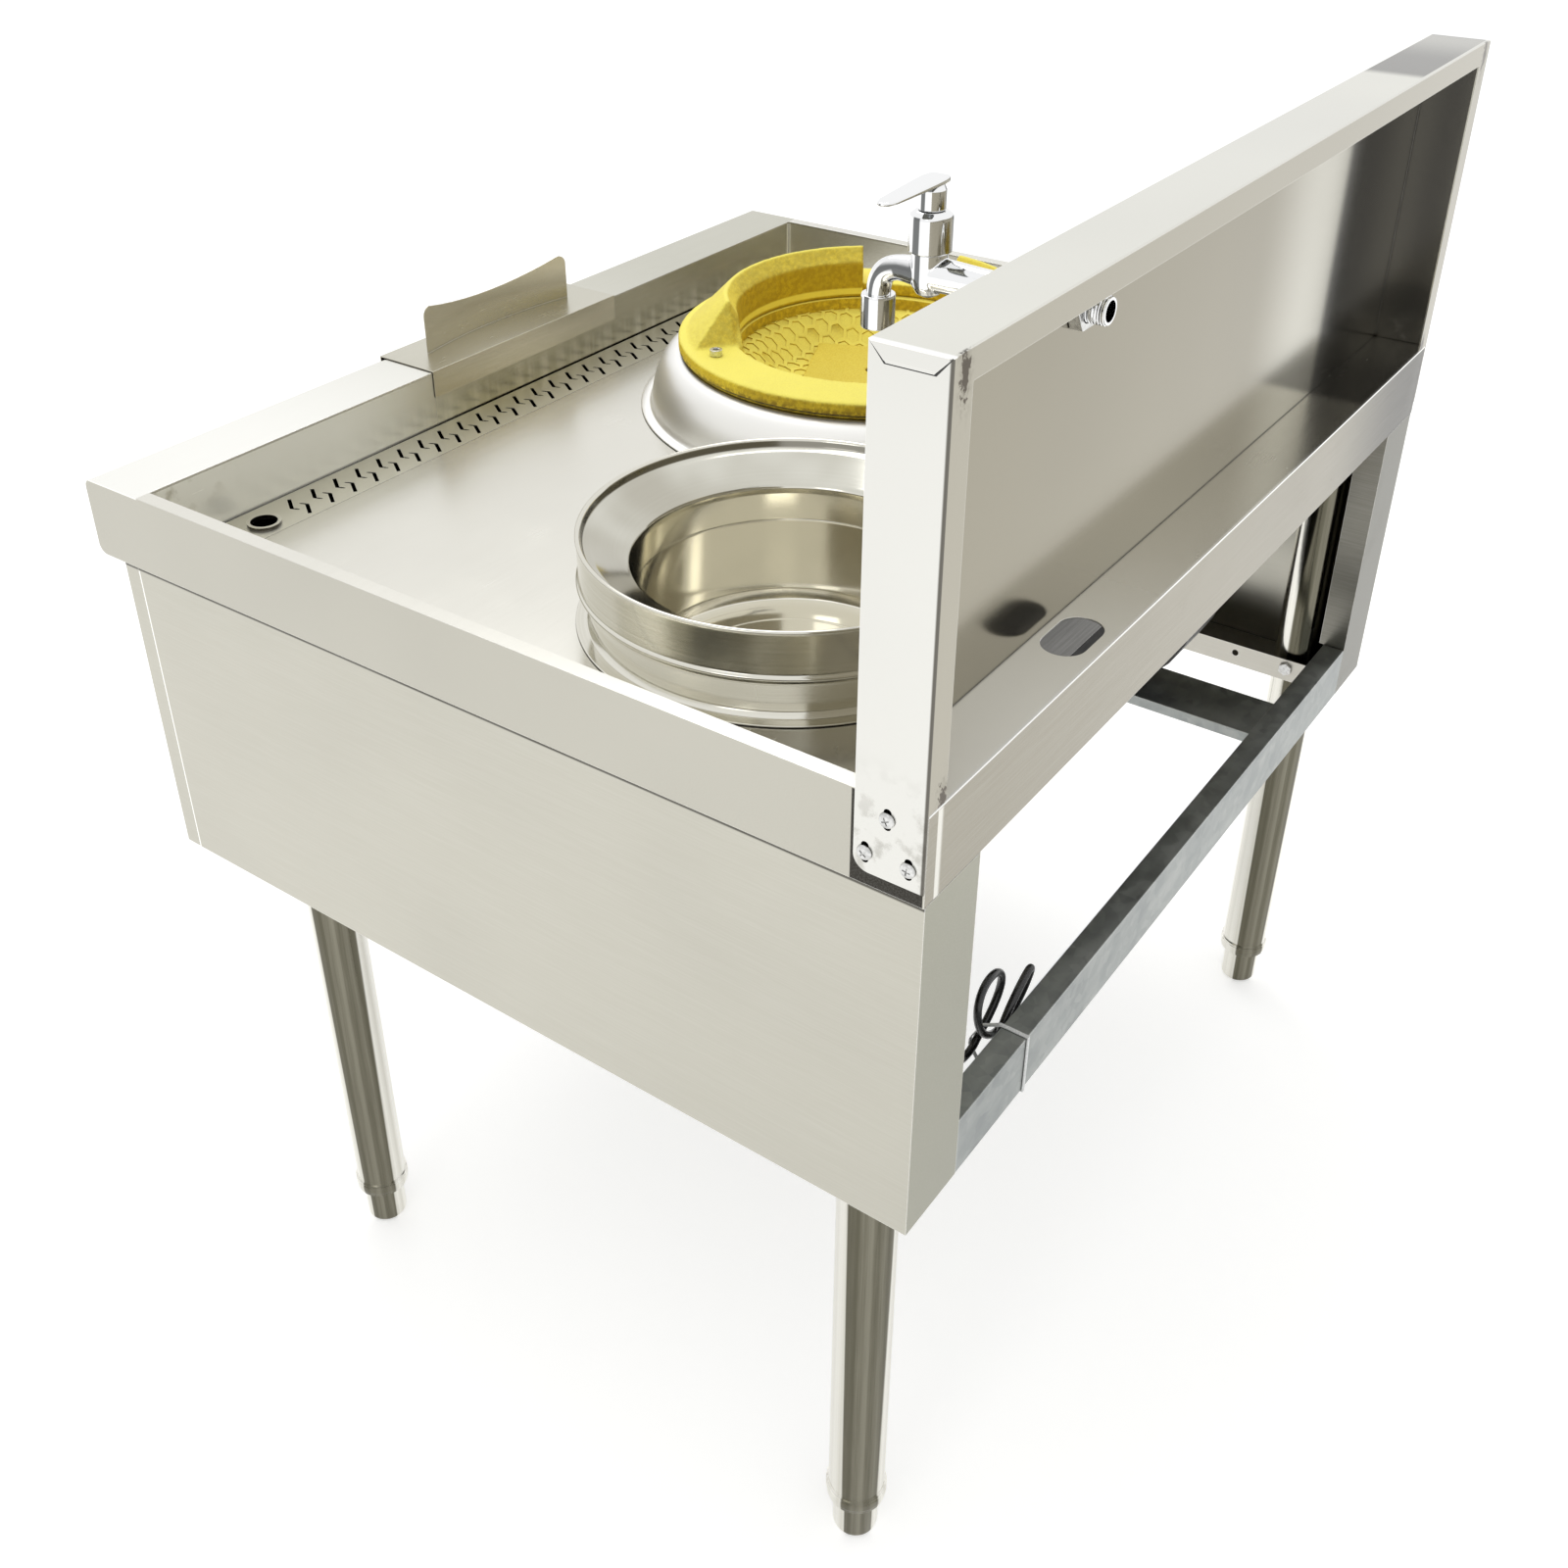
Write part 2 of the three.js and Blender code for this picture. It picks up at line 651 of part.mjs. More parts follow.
const rimUnder = rimHeight - sheet - seatGap; // the panels carry the tray's rim
const flangeTop = skirtZ - seatGap;
const sideInner = bodyHalf - seatGap - sheet;
const sideOuter = bodyHalf - seatGap;
const flangeEdge = sideOuter - rearFlange;

for (const [name, side] of sides) {
  const across = (a, b) => [Math.min(side * a, side * b), Math.max(side * a, side * b)];
  const front = bodyFrontY + frontFlange + seatGap;
  const panel = join(
    block(...across(sideInner, sideOuter), front, rearY, bodyBottom, flangeTop),
    block(...across(sideInner, sideOuter), front, rearY - sheet - seatGap, flangeTop - 1, rimUnder),
    block(...across(flangeEdge, sideOuter), rearY - sheet, rearY, bodyBottom, flangeTop),
    block(...across(flangeEdge, flangeEdge + sheet), rearY - rearFlangeLip, rearY,
      railTop + seatGap, flangeTop),
  );
  place(`side_panel_${name}`, cut(panel, ...screwHoles(...across(sideInner - 1, sideOuter + 1))), stainless);
}

// Each control on the front panel: where its spindle or body goes through.
const knobs = [
  ["main_gas_knob", mainKnobX],
  ["pilot_gas_knob", pilotKnobX],
  ["fan_speed_knob", damperKnobX],
];
const frontInner = bodyFrontY + sheet;

function frontPanel() {
  const inner = sideOuter - sheet;
  const shell = cut(
    block(-sideOuter, sideOuter, bodyFrontY, bodyFrontY + frontFlange, bodyBottom, rimUnder),
    block(-inner, inner, frontInner, bodyFrontY + frontFlange + 1, bodyBottom - 1, rimUnder + 1),
  );
  const holes = knobs.map(([, x]) =>
    rod(spindleRadius + runningGap, "y", knobZ, x, bodyFrontY - 1, frontInner + 1, 10));
  const window = block(switchX - switchWidth / 2 - seatGap, switchX + switchWidth / 2 + seatGap,
    bodyFrontY - 1, frontInner + 1,
    knobZ - switchHeight / 2 - seatGap, knobZ + switchHeight / 2 + seatGap);
  return cut(shell, ...holes, window);
}
place("front_panel", frontPanel(), stainless);

// ---------------------------------------------------------------- rails and cross beam

// A square-cut box section along X, open at both ends.
const boxRail = (x0, x1, y0, y1) =>
  cut(
    block(x0, x1, y0, y1, bodyBottom, railTop),
    block(x0 - 1, x1 + 1, y0 + railSheet, y1 - railSheet, bodyBottom + railSheet, railTop - railSheet),
  );

const railHalf = flangeEdge - seatGap;
const frontRailRear = frontInner + seatGap + railDepth;
const rearRailFront = rearY - railDepth;
place("rear_rail", boxRail(-railHalf, railHalf, rearRailFront, rearY), galvanised);
place("front_rail", boxRail(-railHalf, railHalf, frontInner + seatGap, frontRailRear), galvanised);

const legSeats = [
  ["front_left", -legX, legFrontY],
  ["front_right", legX, legFrontY],
  ["rear_left", -legX, legRearY],
  ["rear_right", legX, legRearY],
];
const legBoltZ = bodyBottom + legBoltRise;
const sideRailOuter = sideInner - seatGap;
const sideRailInner = sideRailOuter - sideRailWidth;
const spareHoleY = legRearY - 60;

for (const [name, side] of sides) {
  const across = (a, b) => [Math.min(side * a, side * b), Math.max(side * a, side * b)];
  const [y0, y1] = [frontRailRear + seatGap, rearRailFront - seatGap];
  const floor = block(...across(sideRailInner, sideRailOuter), y0, y1, bodyBottom, bodyBottom + sheet);
  const heel = block(...across(flangeEdge, sideRailOuter), y1 - 1, rearY - sheet - seatGap,
    bodyBottom, bodyBottom + sheet);
  const toe = block(...across(flangeEdge, sideRailOuter), frontInner + seatGap, y0 + 1,
    bodyBottom, bodyBottom + sheet);
  const lip = block(...across(sideRailInner, sideRailInner + sheet), y0, y1,
    bodyBottom, bodyBottom + sideRailLip);
  const holes = legSeats.filter(([, x]) => x * side > 0).flatMap(([, x, y]) => [
    rod(legRadius + seatGap, "z", x, y, bodyBottom - 1, bodyBottom + sheet + 1, 24),
    rod(legBoltRadius + seatGap, "x", y, legBoltZ, ...across(sideRailInner - 1, sideRailInner + 4), 8),
  ]);
  const spare = rod(legBoltRadius, "x", spareHoleY, legBoltZ,
    ...across(sideRailInner - 1, sideRailInner + 4), 8);
  place(`side_rail_${name}`, cut(join(floor, heel, toe, lip), ...holes, spare), stainless);
}

const beamTop = railTop - railSheet;
const beamHalf = beamWidth / 2;
place(
  "cross_beam",
  cut(
    block(beamCentreX - beamHalf, beamCentreX + beamHalf, frontRailRear + seatGap, rearRailFront - seatGap,
      beamTop - beamHeight, beamTop),
    block(beamCentreX - beamHalf + railSheet, beamCentreX + beamHalf - railSheet, frontRailRear,
      rearRailFront, beamTop - beamHeight - 1, beamTop - railSheet),
  ),
  galvanised,
);

// ---------------------------------------------------------------- legs and feet

const legTop = deckUnder - seatGap;
const stemBore = footStemRadius + runningGap;

for (const [name, x, y] of legSeats) {
  const inward = -Math.sign(x);
  const bore = legRadius - legWall;
  const shoulder = legBottom + collarHeight;
  const tube = turned([
    [stemBore, legBottom],
    [collarRadius, legBottom],
    [collarRadius, shoulder],
    [legRadius, shoulder],
    [legRadius, legTop],
    [bore, legTop],
    [bore, shoulder],
    [stemBore, shoulder],
  ], x, y, 18);
  const reach = (a, b) => [x + inward * a, x + inward * b].sort((p, q) => p - q);
  const boltHole = rod(legBoltRadius + seatGap, "x", y, legBoltZ, ...reach(bore - 6, legRadius + 2), 8);
  place(`leg_${name}`, cut(tube, boltHole), stainless);

  const lipFace = Math.abs(x) - sideRailInner; // leg axis to the rail's inner face
  const bolt = join(
    rod(legBoltRadius, "x", y, legBoltZ, ...reach(bore - 5, lipFace + seatGap + 1), 8),
    rod(legBoltHeadRadius, "x", y, legBoltZ,
      ...reach(lipFace + seatGap, lipFace + seatGap + legBoltHeadHeight), 6),
  );
  place(`leg_bolt_${name}`, bolt, zinc);

  const foot = turned([
    [0, 0],
    [footRadius - 3, 0],
    [footRadius, 4],
    [footRadius, footHeight],
    [footStemRadius, footHeight],
    [footStemRadius, footStemTop],
    [0, footStemTop],
  ], x, y, 16);
  place(`foot_${name}`, foot, stainless);
}

// ---------------------------------------------------------------- burner

const domeTop = deckZ + domeHeight;
const bellFoot = domeFootRadius - 12;
const bellSteps = 4;

// The dome is a quarter ellipse in section, with a flat foot and a lip turned in at the top.
function burnerDome() {
  const foot = deckZ + seatGap;
  const arc = (inset) =>
    Array.from({ length: bellSteps + 1 }, (_, i) => {
      const t = (Math.PI / 2) * (i / bellSteps);
      const rise = domeTop - foot - inset;
      return [domeTopRadius + (bellFoot - inset - domeTopRadius) * Math.cos(t), foot + rise * Math.sin(t)];
    });
  const lip = domeTopRadius - 11;
  const outer = arc(0);
  outer[0] = [bellFoot + 1, foot + domeSheet];
  return turned([
    [domeFootRadius, foot],
    [domeFootRadius, foot + domeSheet],
    ...outer,
    [lip, domeTop],
    [lip, domeTop - domeSheet],
    ...arc(domeSheet).reverse(),
  ], burnerX, burnerY, 43);
}
place("burner_dome", burnerDome(), stainless);

const flangeTopZ = domeTop + seatGap + chamberFlange;
const dishEdge = flangeTopZ - dishRim;
const dishFloor = dishEdge - dishFall;
const dishUnder = dishFloor - chamberWall;
const flangeRadius = domeTopRadius + 2;
const ringBolts = ringBoltAngles.map((angle) => [
  burnerX + ringBoltCircle * Math.cos(radians(angle)),
  burnerY + ringBoltCircle * Math.sin(radians(angle)),
]);
const boltHoles = (z0, z1) => ringBolts.map(([x, y]) => rod(ringBoltRadius + seatGap, "z", x, y, z0, z1, 10));
const turnedToPot = (shape) => shape.rotate([0, 0, flueAngle]).translate([burnerX, burnerY, 0]);
const mouthSide = blockSide - 22;
const squareAt = (side, z0, z1) => turnedToPot(block(-side / 2, side / 2, -side / 2, side / 2, z0, z1));

function fireChamber() {
  const outer = chamberRadius + chamberWall;
  const flat = blockSide * 0.74; // flat floor that the block's corners stay on
  const bowl = turned([
    [0, dishUnder],
    [flat, dishUnder],
    [outer - 6, dishEdge - chamberWall],
    [outer, dishEdge],
    [outer, domeTop + seatGap],
    [flangeRadius, domeTop + seatGap],
    [flangeRadius, flangeTopZ],
    [chamberRadius, flangeTopZ],
    [chamberRadius, dishEdge + 3],
    [chamberRadius - 5, dishEdge],
    [flat, dishFloor],
    [0, dishFloor],
  ], burnerX, burnerY, 43);
  const mouth = squareAt(mouthSide, dishUnder - 1, dishFloor + 1);
  return cut(bowl, mouth, ...boltHoles(domeTop - 1, flangeTopZ + 1));
}
place("fire_chamber", fireChamber(), yellowIron);

// The burner block stands over the dish's mouth; gas leaves by a port on top and slots in its sides.
function burnerBlock() {
  const foot = dishFloor + seatGap;
  const top = foot + blockHeight;
  const pocket = mouthSide / 2;
  const slots = [-1, 0, 1].flatMap((n) => {
    const at = n * blockSide * 0.27;
    const [z0, z1] = [foot + 4, foot + 9];
    return [
      block(-blockSide, blockSide, at - 12, at + 12, z0, z1),
      block(at - 12, at + 12, -blockSide, blockSide, z0, z1),
    ];
  });
  const body = cut(
    block(-blockSide / 2, blockSide / 2, -blockSide / 2, blockSide / 2, foot, top),
    block(-pocket, pocket, -pocket, pocket, foot - 1, top - 4),
    ...slots,
    rod(blockPortRadius, "z", 0, 0, foot, top + 1, 12),
  );
  return turnedToPot(body);
}
place("burner_block", burnerBlock(), yellowIron);

const ringFoot = flangeTopZ + seatGap;
const ringLedge = ringFoot + ringLedgeHeight;

function wokRing() {
  const base = turned([
    [ringLowBoreRadius, ringFoot],
    [ringOuterRadius, ringFoot],
    [ringOuterRadius, ringLedge - ringEdgeBevel],
    [ringOuterRadius - ringEdgeBevel, ringLedge],
    [ringLowBoreRadius, ringLedge],
  ], burnerX, burnerY, 43);
  // A raised wall: upright inside, a sloped seat for the pan, a cone outside, and a ramp at one end.
  const walls = [[...ringWallA].reverse(), ringWallB].map(([ramp, square]) => {
    const rampShare = ringRampAngle / Math.abs(square - ramp);
    const lowest = ringRampFoot / ringCrestHeight;
    const profileAt = (share) => {
      const rise = ringCrestHeight * Math.min(1, lowest + ((1 - lowest) * share) / rampShare);
      const seat = rise * (1 - ringSeatDrop / ringCrestHeight);
      return [
        [ringBoreRadius, ringFoot],
        [ringOuterRadius - ringWallInset, ringFoot],
        [ringOuterRadius - ringWallInset, ringFoot + ringLedgeHeight * 0.5],
        [ringCrestRadius + ringCrestWidth, ringFoot + rise],
        [ringCrestRadius, ringFoot + rise],
        [ringBoreRadius, ringFoot + seat],
      ];
    };
    return sector(profileAt, burnerX, burnerY, 20, ramp, square);
  });
  return cut(join(base, ...walls), ...boltHoles(ringFoot - 1, ringLedge + 1));
}
place("wok_ring", wokRing(), yellowIron);

ringBolts.forEach(([x, y], i) => {
  const head = ringLedge + seatGap;
  const top = head + ringBoltHeadHeight;
  const bolt = cut(
    join(
      rod(ringBoltHeadRadius, "z", x, y, head, top, 14),
      rod(ringBoltRadius, "z", x, y, domeTop - 6, head + 1, 8),
    ),
    rod(ringBoltHeadRadius * 0.55, "z", x, y, top - 4, top + 1, 6),
  );
  place(`ring_bolt_${i + 1}`, bolt, zinc);
});

const drumTop = dishUnder - seatGap;
const drumLow = drumTop - drumHeight;
const blowerX = burnerX - blowerAside;
const blowerY = burnerY + blowerBehind;
const blowerZ = beamTop + seatGap + blowerRadius;
const ductTop = blowerZ + blowerRadius - sheet;
const ductLow = ductTop - ductHeight;
const ductX0 = blowerX - ductWidth / 2;
const ductX1 = blowerX + ductWidth / 2;

function burnerDrum() {
  const neck = mouthSide * 0.72;
  const can = turned([
    [0, drumLow],
    [drumRadius, drumLow],
    [drumRadius, drumTop],
    [neck, drumTop],
    [neck, drumTop - sheet],
    [drumRadius - sheet, drumTop - sheet],
    [drumRadius - sheet, drumLow + sheet],
    [0, drumLow + sheet],
  ], burnerX, burnerY, 24);
  return cut(can, block(ductX0 + sheet, ductX1 - sheet, burnerY, burnerY + drumRadius + 1,
    ductLow + sheet, ductTop - sheet));
}
place("burner_drum", burnerDrum(), darkIron);

// ---------------------------------------------------------------- rear water pot

const potSeat = deckZ + potRimHeight - potBandHeight;

function potCollar() {
  const foot = deckZ + seatGap;
  const [low, high] = [potRimRadius - 8.5, potRimRadius - 3];
  const bead = potSeat - seatGap - beadRadius;
  return turned([
    [low - sheet, foot],
    [low + 13, foot],
    [low + 13, foot + sheet],
    [low + 3, foot + sheet],
    [low, foot + potCollarFoot],
    [high, bead - beadRadius],
    [high + beadRadius, bead],
    [high + beadRadius, bead + beadRadius],
    [high - sheet, bead + beadRadius],
    [high - sheet, bead - beadRadius],
    [low - sheet, foot + potCollarFoot],
  ], potX, potY, 38);
}
place("pot_collar", potCollar(), polished);

function tailPot() {
  const rim = deckZ + potRimHeight;
  const funnelFoot = rim - potFunnelDrop;
  const floor = funnelFoot - potDepth;
  const skin = potRimRadius - potWall;
  const shell = potBoreRadius + potWall;
  return turned([
    [0, floor - potWall],
    [potBoreRadius - 10, floor - potWall],
    [shell, floor + 11],
    [shell, funnelFoot - potWall],
    [skin - 4, rim - 10],
    [skin, rim - 8],
    [skin, potSeat],
    [potRimRadius + beadRadius, potSeat],
    [potRimRadius + beadRadius, potSeat + beadRadius],
    [potRimRadius, potSeat + 2 * beadRadius],
    [potRimRadius, rim - 1],
    [potRimRadius - 1, rim],
    [skin - 1, rim],
    [skin - 6, rim - 8],
    [potBoreRadius, funnelFoot],
    [potBoreRadius, floor + 11],
    [potBoreRadius - 10, floor],
    [0, floor],
  ], potX, potY, 38);
}
place("tail_pot", tailPot(), polished);

// ---------------------------------------------------------------- tap

const bonnetFoot = tapZ + 16;
const bonnetTop = bonnetFoot + tapBonnetHeight;
const nippleEnd = splashFront + sheet + nippleLength;

function tapBody() {
  const spoutY = tapY - spoutReach;
  const cupTop = tapZ - 22;
  const spout = bar([
    [tapX, tapY + 4, tapZ - 3],
    [tapX, tapY - spoutReach * 0.3, tapZ + 2],
    [tapX, tapY - spoutReach * 0.68, tapZ - 1],
    [tapX, spoutY + spoutRadius * 0.25, tapZ - 11],
    [tapX, spoutY, cupTop - 4],
  ], spoutRadius, 8, 5, 10);
  const shell = join(
    turned([
      [0, tapZ - 17],
      [tapBodyRadius - 5, tapZ - 16],
      [tapBodyRadius, tapZ - 9],
      [tapBodyRadius, bonnetFoot],
      [tapBonnetRadius, bonnetFoot],
      [tapBonnetRadius, bonnetTop - 4],
      [tapBonnetRadius - 4, bonnetTop],
      [0, bonnetTop],
    ], tapX, tapY, 20),
    rod(tapPipeRadius, "y", tapZ, tapX, tapY, nippleEnd, 18),
    rod(tapPipeRadius + 5, "y", tapZ, tapX, splashFront - 7, splashFront - seatGap, 18),
    spout,
    rod(cupRadius, "z", tapX, spoutY, cupTop - cupHeight, cupTop, 18),
  );
  return cut(
    shell,
    rod(cupBore, "z", tapX, spoutY, cupTop - cupHeight - 1, cupTop - 5, 14),
    rod(tapPipeBore, "y", tapZ, tapX, splashFront - 20, nippleEnd + 1, 14),
  );
}
place("tap_body", tapBody(), chrome);

function tapLever() {
  const foot = bonnetTop + seatGap;
  const top = foot + tapStemHeight;
  const [back, tip, half] = [13, tapLeverLength, tapLeverWidth / 2];
  const blade = outline([
    [tapX - back, tapY - half - 1],
    [tapX + 8, tapY - half - 3],
    [tapX + tip - 5, tapY - half + 1],
    [tapX + tip, tapY - half + 5],
    [tapX + tip, tapY + half - 5],
    [tapX + tip - 5, tapY + half - 1],
    [tapX + 8, tapY + half + 3],
    [tapX - back, tapY + half + 1],
  ]);
  return join(rod(tapStemRadius, "z", tapX, tapY, foot, top, 24), prism(blade, "z", top - 1, top + 6));
}
place("tap_lever", tapLever(), chrome);

const nutFront = splashFront + sheet + seatGap;
place(
  "tap_lock_nut",
  cut(
    rod(nutAcross / 2, "y", tapZ, tapX, nutFront, nutFront + nutThickness, 6),
    rod(tapPipeRadius + seatGap, "y", tapZ, tapX, nutFront - 1, nutFront + nutThickness + 1, 24),
  ),
  zinc,
);

// ---------------------------------------------------------------- gas line, drain and controls

const manifoldY = bodyFrontY + gasPipeBehind;
const valveFront = frontInner + seatGap;

function gasManifold() {
  const supplyX = pilotKnobX - gasSupplyAside;
  const nutRear = legRearY - gasNutInset;
  const pieces = [
    rod(gasPipeRadius, "x", manifoldY, knobZ, supplyX, mainKnobX + gasPipeEnd, 10),
    rod(gasPipeRadius, "y", knobZ, supplyX, manifoldY - gasPipeRadius, legRearY, 10),
    rod(gasPipeRadius + gasNutWall, "y", knobZ, supplyX, nutRear - gasNutLength, nutRear, 6),
    rod(gasPipeRadius, "y", knobZ, mainKnobX, manifoldY, burnerY - drumRadius - seatGap, 10),
  ];
  const half = valveSide / 2;
  const valveFace = valveFront + valveNeckLength;
  for (const x of [mainKnobX, pilotKnobX]) {
    pieces.push(block(x - half, x + half, valveFace, manifoldY + valveBack, knobZ - half, knobZ + half));
    pieces.push(rod(valveNeckRadius, "y", knobZ, x, valveFront, valveFace + 1, 10));
  }
  const bores = [mainKnobX, pilotKnobX].map((x) =>
    rod(spindleRadius + runningGap, "y", knobZ, x, bodyFrontY, valveFront + spindleBore, 8));
  const inlet = rod(gasPipeRadius - gasPipeWall, "y", knobZ, supplyX,
    legRearY - gasInletDepth, legRearY + 1, 10);
  return cut(join(...pieces), ...bores, inlet);
}
place("gas_manifold", gasManifold(), brass);

for (const [name, x] of knobs) {
  const face = bodyFrontY - runningGap;
  const spindleTip = valveFront + spindleReach;
  const grip = 3.5;
  const knob = join(
    rod(knobRadius, "y", knobZ, x, face - 8, face, 20),
    rod(knobRadius * 0.72, "y", knobZ, x, face - knobDepth + 6, face - 7, 16),
    block(x - grip, x + grip, face - knobDepth, face - 7, knobZ - knobRadius + 2, knobZ + knobRadius - 2),
    rod(spindleRadius, "y", knobZ, x, face - 4, spindleTip, 8),
  );
  place(name, knob, name === "main_gas_knob" ? redPlastic : blackPlastic);
}

// The fan's speed control and its rocker switch share a box behind the front panel.
function controlBox() {
  const [y0, y1] = [valveFront, valveFront + fanBoxDepth];
  const [x0, x1] = [damperKnobX - fanBoxPastKnob, switchX + fanBoxPastSwitch];
  const [z0, z1] = [knobZ - fanBoxHeight / 2, knobZ + fanBoxHeight / 2];
  return cut(
    block(x0, x1, y0, y1, z0, z1),
    rod(spindleRadius + runningGap, "y", knobZ, damperKnobX, y0 - 1, y0 + spindleBore, 8),
    block(switchX - switchWidth / 2 - seatGap, switchX + switchWidth / 2 + seatGap, y0 - 1, y0 + switchBore,
      knobZ - switchHeight / 2 - seatGap, knobZ + switchHeight / 2 + seatGap),
  );
}
place("fan_control_box", controlBox(), blackPlastic);

const rockerPivotY = frontInner + 4;
function rocker() {
  const half = switchHeight / 2 - 1.2;
  const proud = 4;
  const side = outline([
    [rockerPivotY - 3.2, knobZ - half],
    [rockerPivotY + 4, knobZ - half + 4],
    [rockerPivotY + 4, knobZ + half - 4],
    [rockerPivotY - 6.2, knobZ + half],
    [bodyFrontY - proud, knobZ + half - 2.5],
    [bodyFrontY - proud * 0.2, knobZ],
    [bodyFrontY + 0.6, knobZ - half + 1],
  ]);
  return prism(side, "x", switchX - switchWidth / 2 + runningGap, switchX + switchWidth / 2 - runningGap);
}
place("fan_switch_rocker", rocker(), redPlastic);

// ---------------------------------------------------------------- blower and air duct

const housingX0 = blowerX - blowerWidth / 2;
const housingX1 = blowerX + blowerWidth / 2;
const throatFront = blowerY - blowerRadius - 3;
const impellerX = blowerX + 2;

function blowerHousing() {
  const skin = 2;
  const steps = 26;
  return cut(
    join(
      rod(blowerRadius, "x", blowerY, blowerZ, housingX0, housingX1, steps),
      block(ductX0, ductX1, throatFront, blowerY, ductLow, ductTop),
    ),
    rod(blowerRadius - skin, "x", blowerY, blowerZ, housingX0 + skin, housingX1 - skin, steps),
    block(ductX0 + skin, ductX1 - skin, throatFront - 1, blowerY, ductLow + skin, ductTop - skin),
    rod(blowerInlet, "x", blowerY, blowerZ, housingX0 - 1, housingX0 + skin + 1, 24),
    rod(8, "x", blowerY, blowerZ, housingX1 - skin - 1, housingX1 + 1, 12),
  );
}
place("blower_housing", blowerHousing(), darkIron);

function impeller() {
  const [x0, x1] = [impellerX - impellerWidth / 2, impellerX + impellerWidth / 2];
  const blades = 8;
  const pieces = [
    rod(impellerRadius, "x", blowerY, blowerZ, x1 - 2, x1, 20),
    cut(
      rod(impellerRadius, "x", blowerY, blowerZ, x0, x0 + 2, 20),
      rod(impellerRadius - 28, "x", blowerY, blowerZ, x0 - 1, x0 + 3, 18),
    ),
    rod(14, "x", blowerY, blowerZ, x1 - 22, x1, 20),
    rod(5, "x", blowerY, blowerZ, x1 - 4, housingX1 + 32, 12),
  ];
  for (let i = 0; i < blades; i++) {
    const blade = block(x0 + 1, x1 - 1, -1, 1, impellerRadius - 24, impellerRadius - 2);
    pieces.push(blade.rotate([(360 * i) / blades, 0, 0]).translate([0, blowerY, blowerZ]));
  }
  return join(...pieces);
}
place("blower_impeller", impeller(), galvanised);

const motorFoot = housingX1 + seatGap;
place(
  "blower_motor",
  cut(
    join(
      rod(motorRadius, "x", blowerY, blowerZ, motorFoot + 6, motorFoot + motorLength, 18),
      rod(motorRadius + 14, "x", blowerY, blowerZ, motorFoot, motorFoot + 7, 18),
    ),
    rod(5 + runningGap, "x", blowerY, blowerZ, motorFoot - 1, motorFoot + 34, 16),
  ),
  darkIron,
);

function airDuct() {
  const [y0, y1] = [burnerY, throatFront - seatGap];
  const tube = cut(
    block(ductX0, ductX1, y0, y1, ductLow, ductTop),
    block(ductX0 + sheet, ductX1 - sheet, y0 - 1, y1 + 1, ductLow + sheet, ductTop - sheet),
  );
  return cut(tube, rod(drumRadius + seatGap, "z", burnerX, burnerY, ductLow - 5, ductTop + 5, 64));
}
place("air_duct", airDuct(), galvanised);

// ---------------------------------------------------------------- mains lead

const boxOuter = sideInner - seatGap;
const boxY = rearY - boxRearInset;
const boxZ = bodyBottom + boxRise;
const boxInner = boxOuter - boxDepth;
place("wiring_box", block(boxInner, boxOuter, boxY, boxY + boxWidth, boxZ, boxZ + boxHeight), blackPlastic);

const glandX = boxInner + 14;
const glandY = boxY + 50;
const glandLength = 24;
const glandTop = boxZ - seatGap;
place(
  "cord_gland",
  turned([
    [0, glandTop - glandLength],
    [cordRadius + 1.8, glandTop - glandLength],
    [cordRadius + 4.5, glandTop - 7],
    [cordRadius + 7.5, glandTop - 7],
    [cordRadius + 7.5, glandTop],
    [0, glandTop],
  ], glandX, glandY, 18),
  blackRubber,
);

// The loops of the hank leave and come back to one point, each leaning less and lying a step further in.
const hankX = halfWidth - hankInset;
const hankY = rearRailFront - seatGap - cordRadius - 1.4;
const hankZ = railTop - hankDrop;

function hankPoint(turn) {
  const swing = turn - 0.5;
  const between = ([first, last]) => first + (last - first) * swing;
  const lean = radians(between(hankLean));
  const angle = 2 * Math.PI * turn;
  const outward = (between(hankReach) / 2) * (1 - Math.cos(angle));
  const across = between(hankSpread) * Math.sin(angle);
  return new THREE.Vector3(
    hankX + outward * Math.sin(lean) + across * Math.cos(lean),
    hankY - hankStep * turn,
    hankZ + outward * Math.cos(lean) - across * Math.sin(lean),
  );
}

// The hank's centre line, with a straight end one cord diameter long before and after the loops.
const stepsPerLoop = 24;
const hankPath = Array.from({ length: hankLoops * stepsPerLoop + 1 }, (_, i) => hankPoint(i / stepsPerLoop));
const firstWay = hankPath[1].clone().sub(hankPath[0]);
const lastWay = hankPath.at(-1).clone().sub(hankPath.at(-2));
hankPath.unshift(hankPath[0].clone().addScaledVector(firstWay.normalize(), -2 * cordRadius));
hankPath.push(hankPath.at(-1).clone().addScaledVector(lastWay.normalize(), 2 * cordRadius));
const hankCurve = new THREE.CatmullRomCurve3(hankPath);
const [hankIn, hankOut] = [hankCurve.getTangent(0), hankCurve.getTangent(1)];

// A tube along listed points, with one ring of its section at each step.
function cordTube(points, sidesRound, steps) {
  const curve = new THREE.CatmullRomCurve3(points);
  const options = { steps, extrudePath: curve, bevelEnabled: false };
  return solid(new THREE.ExtrudeGeometry(circle(cordRadius, 0, 0, sidesRound), options));
}

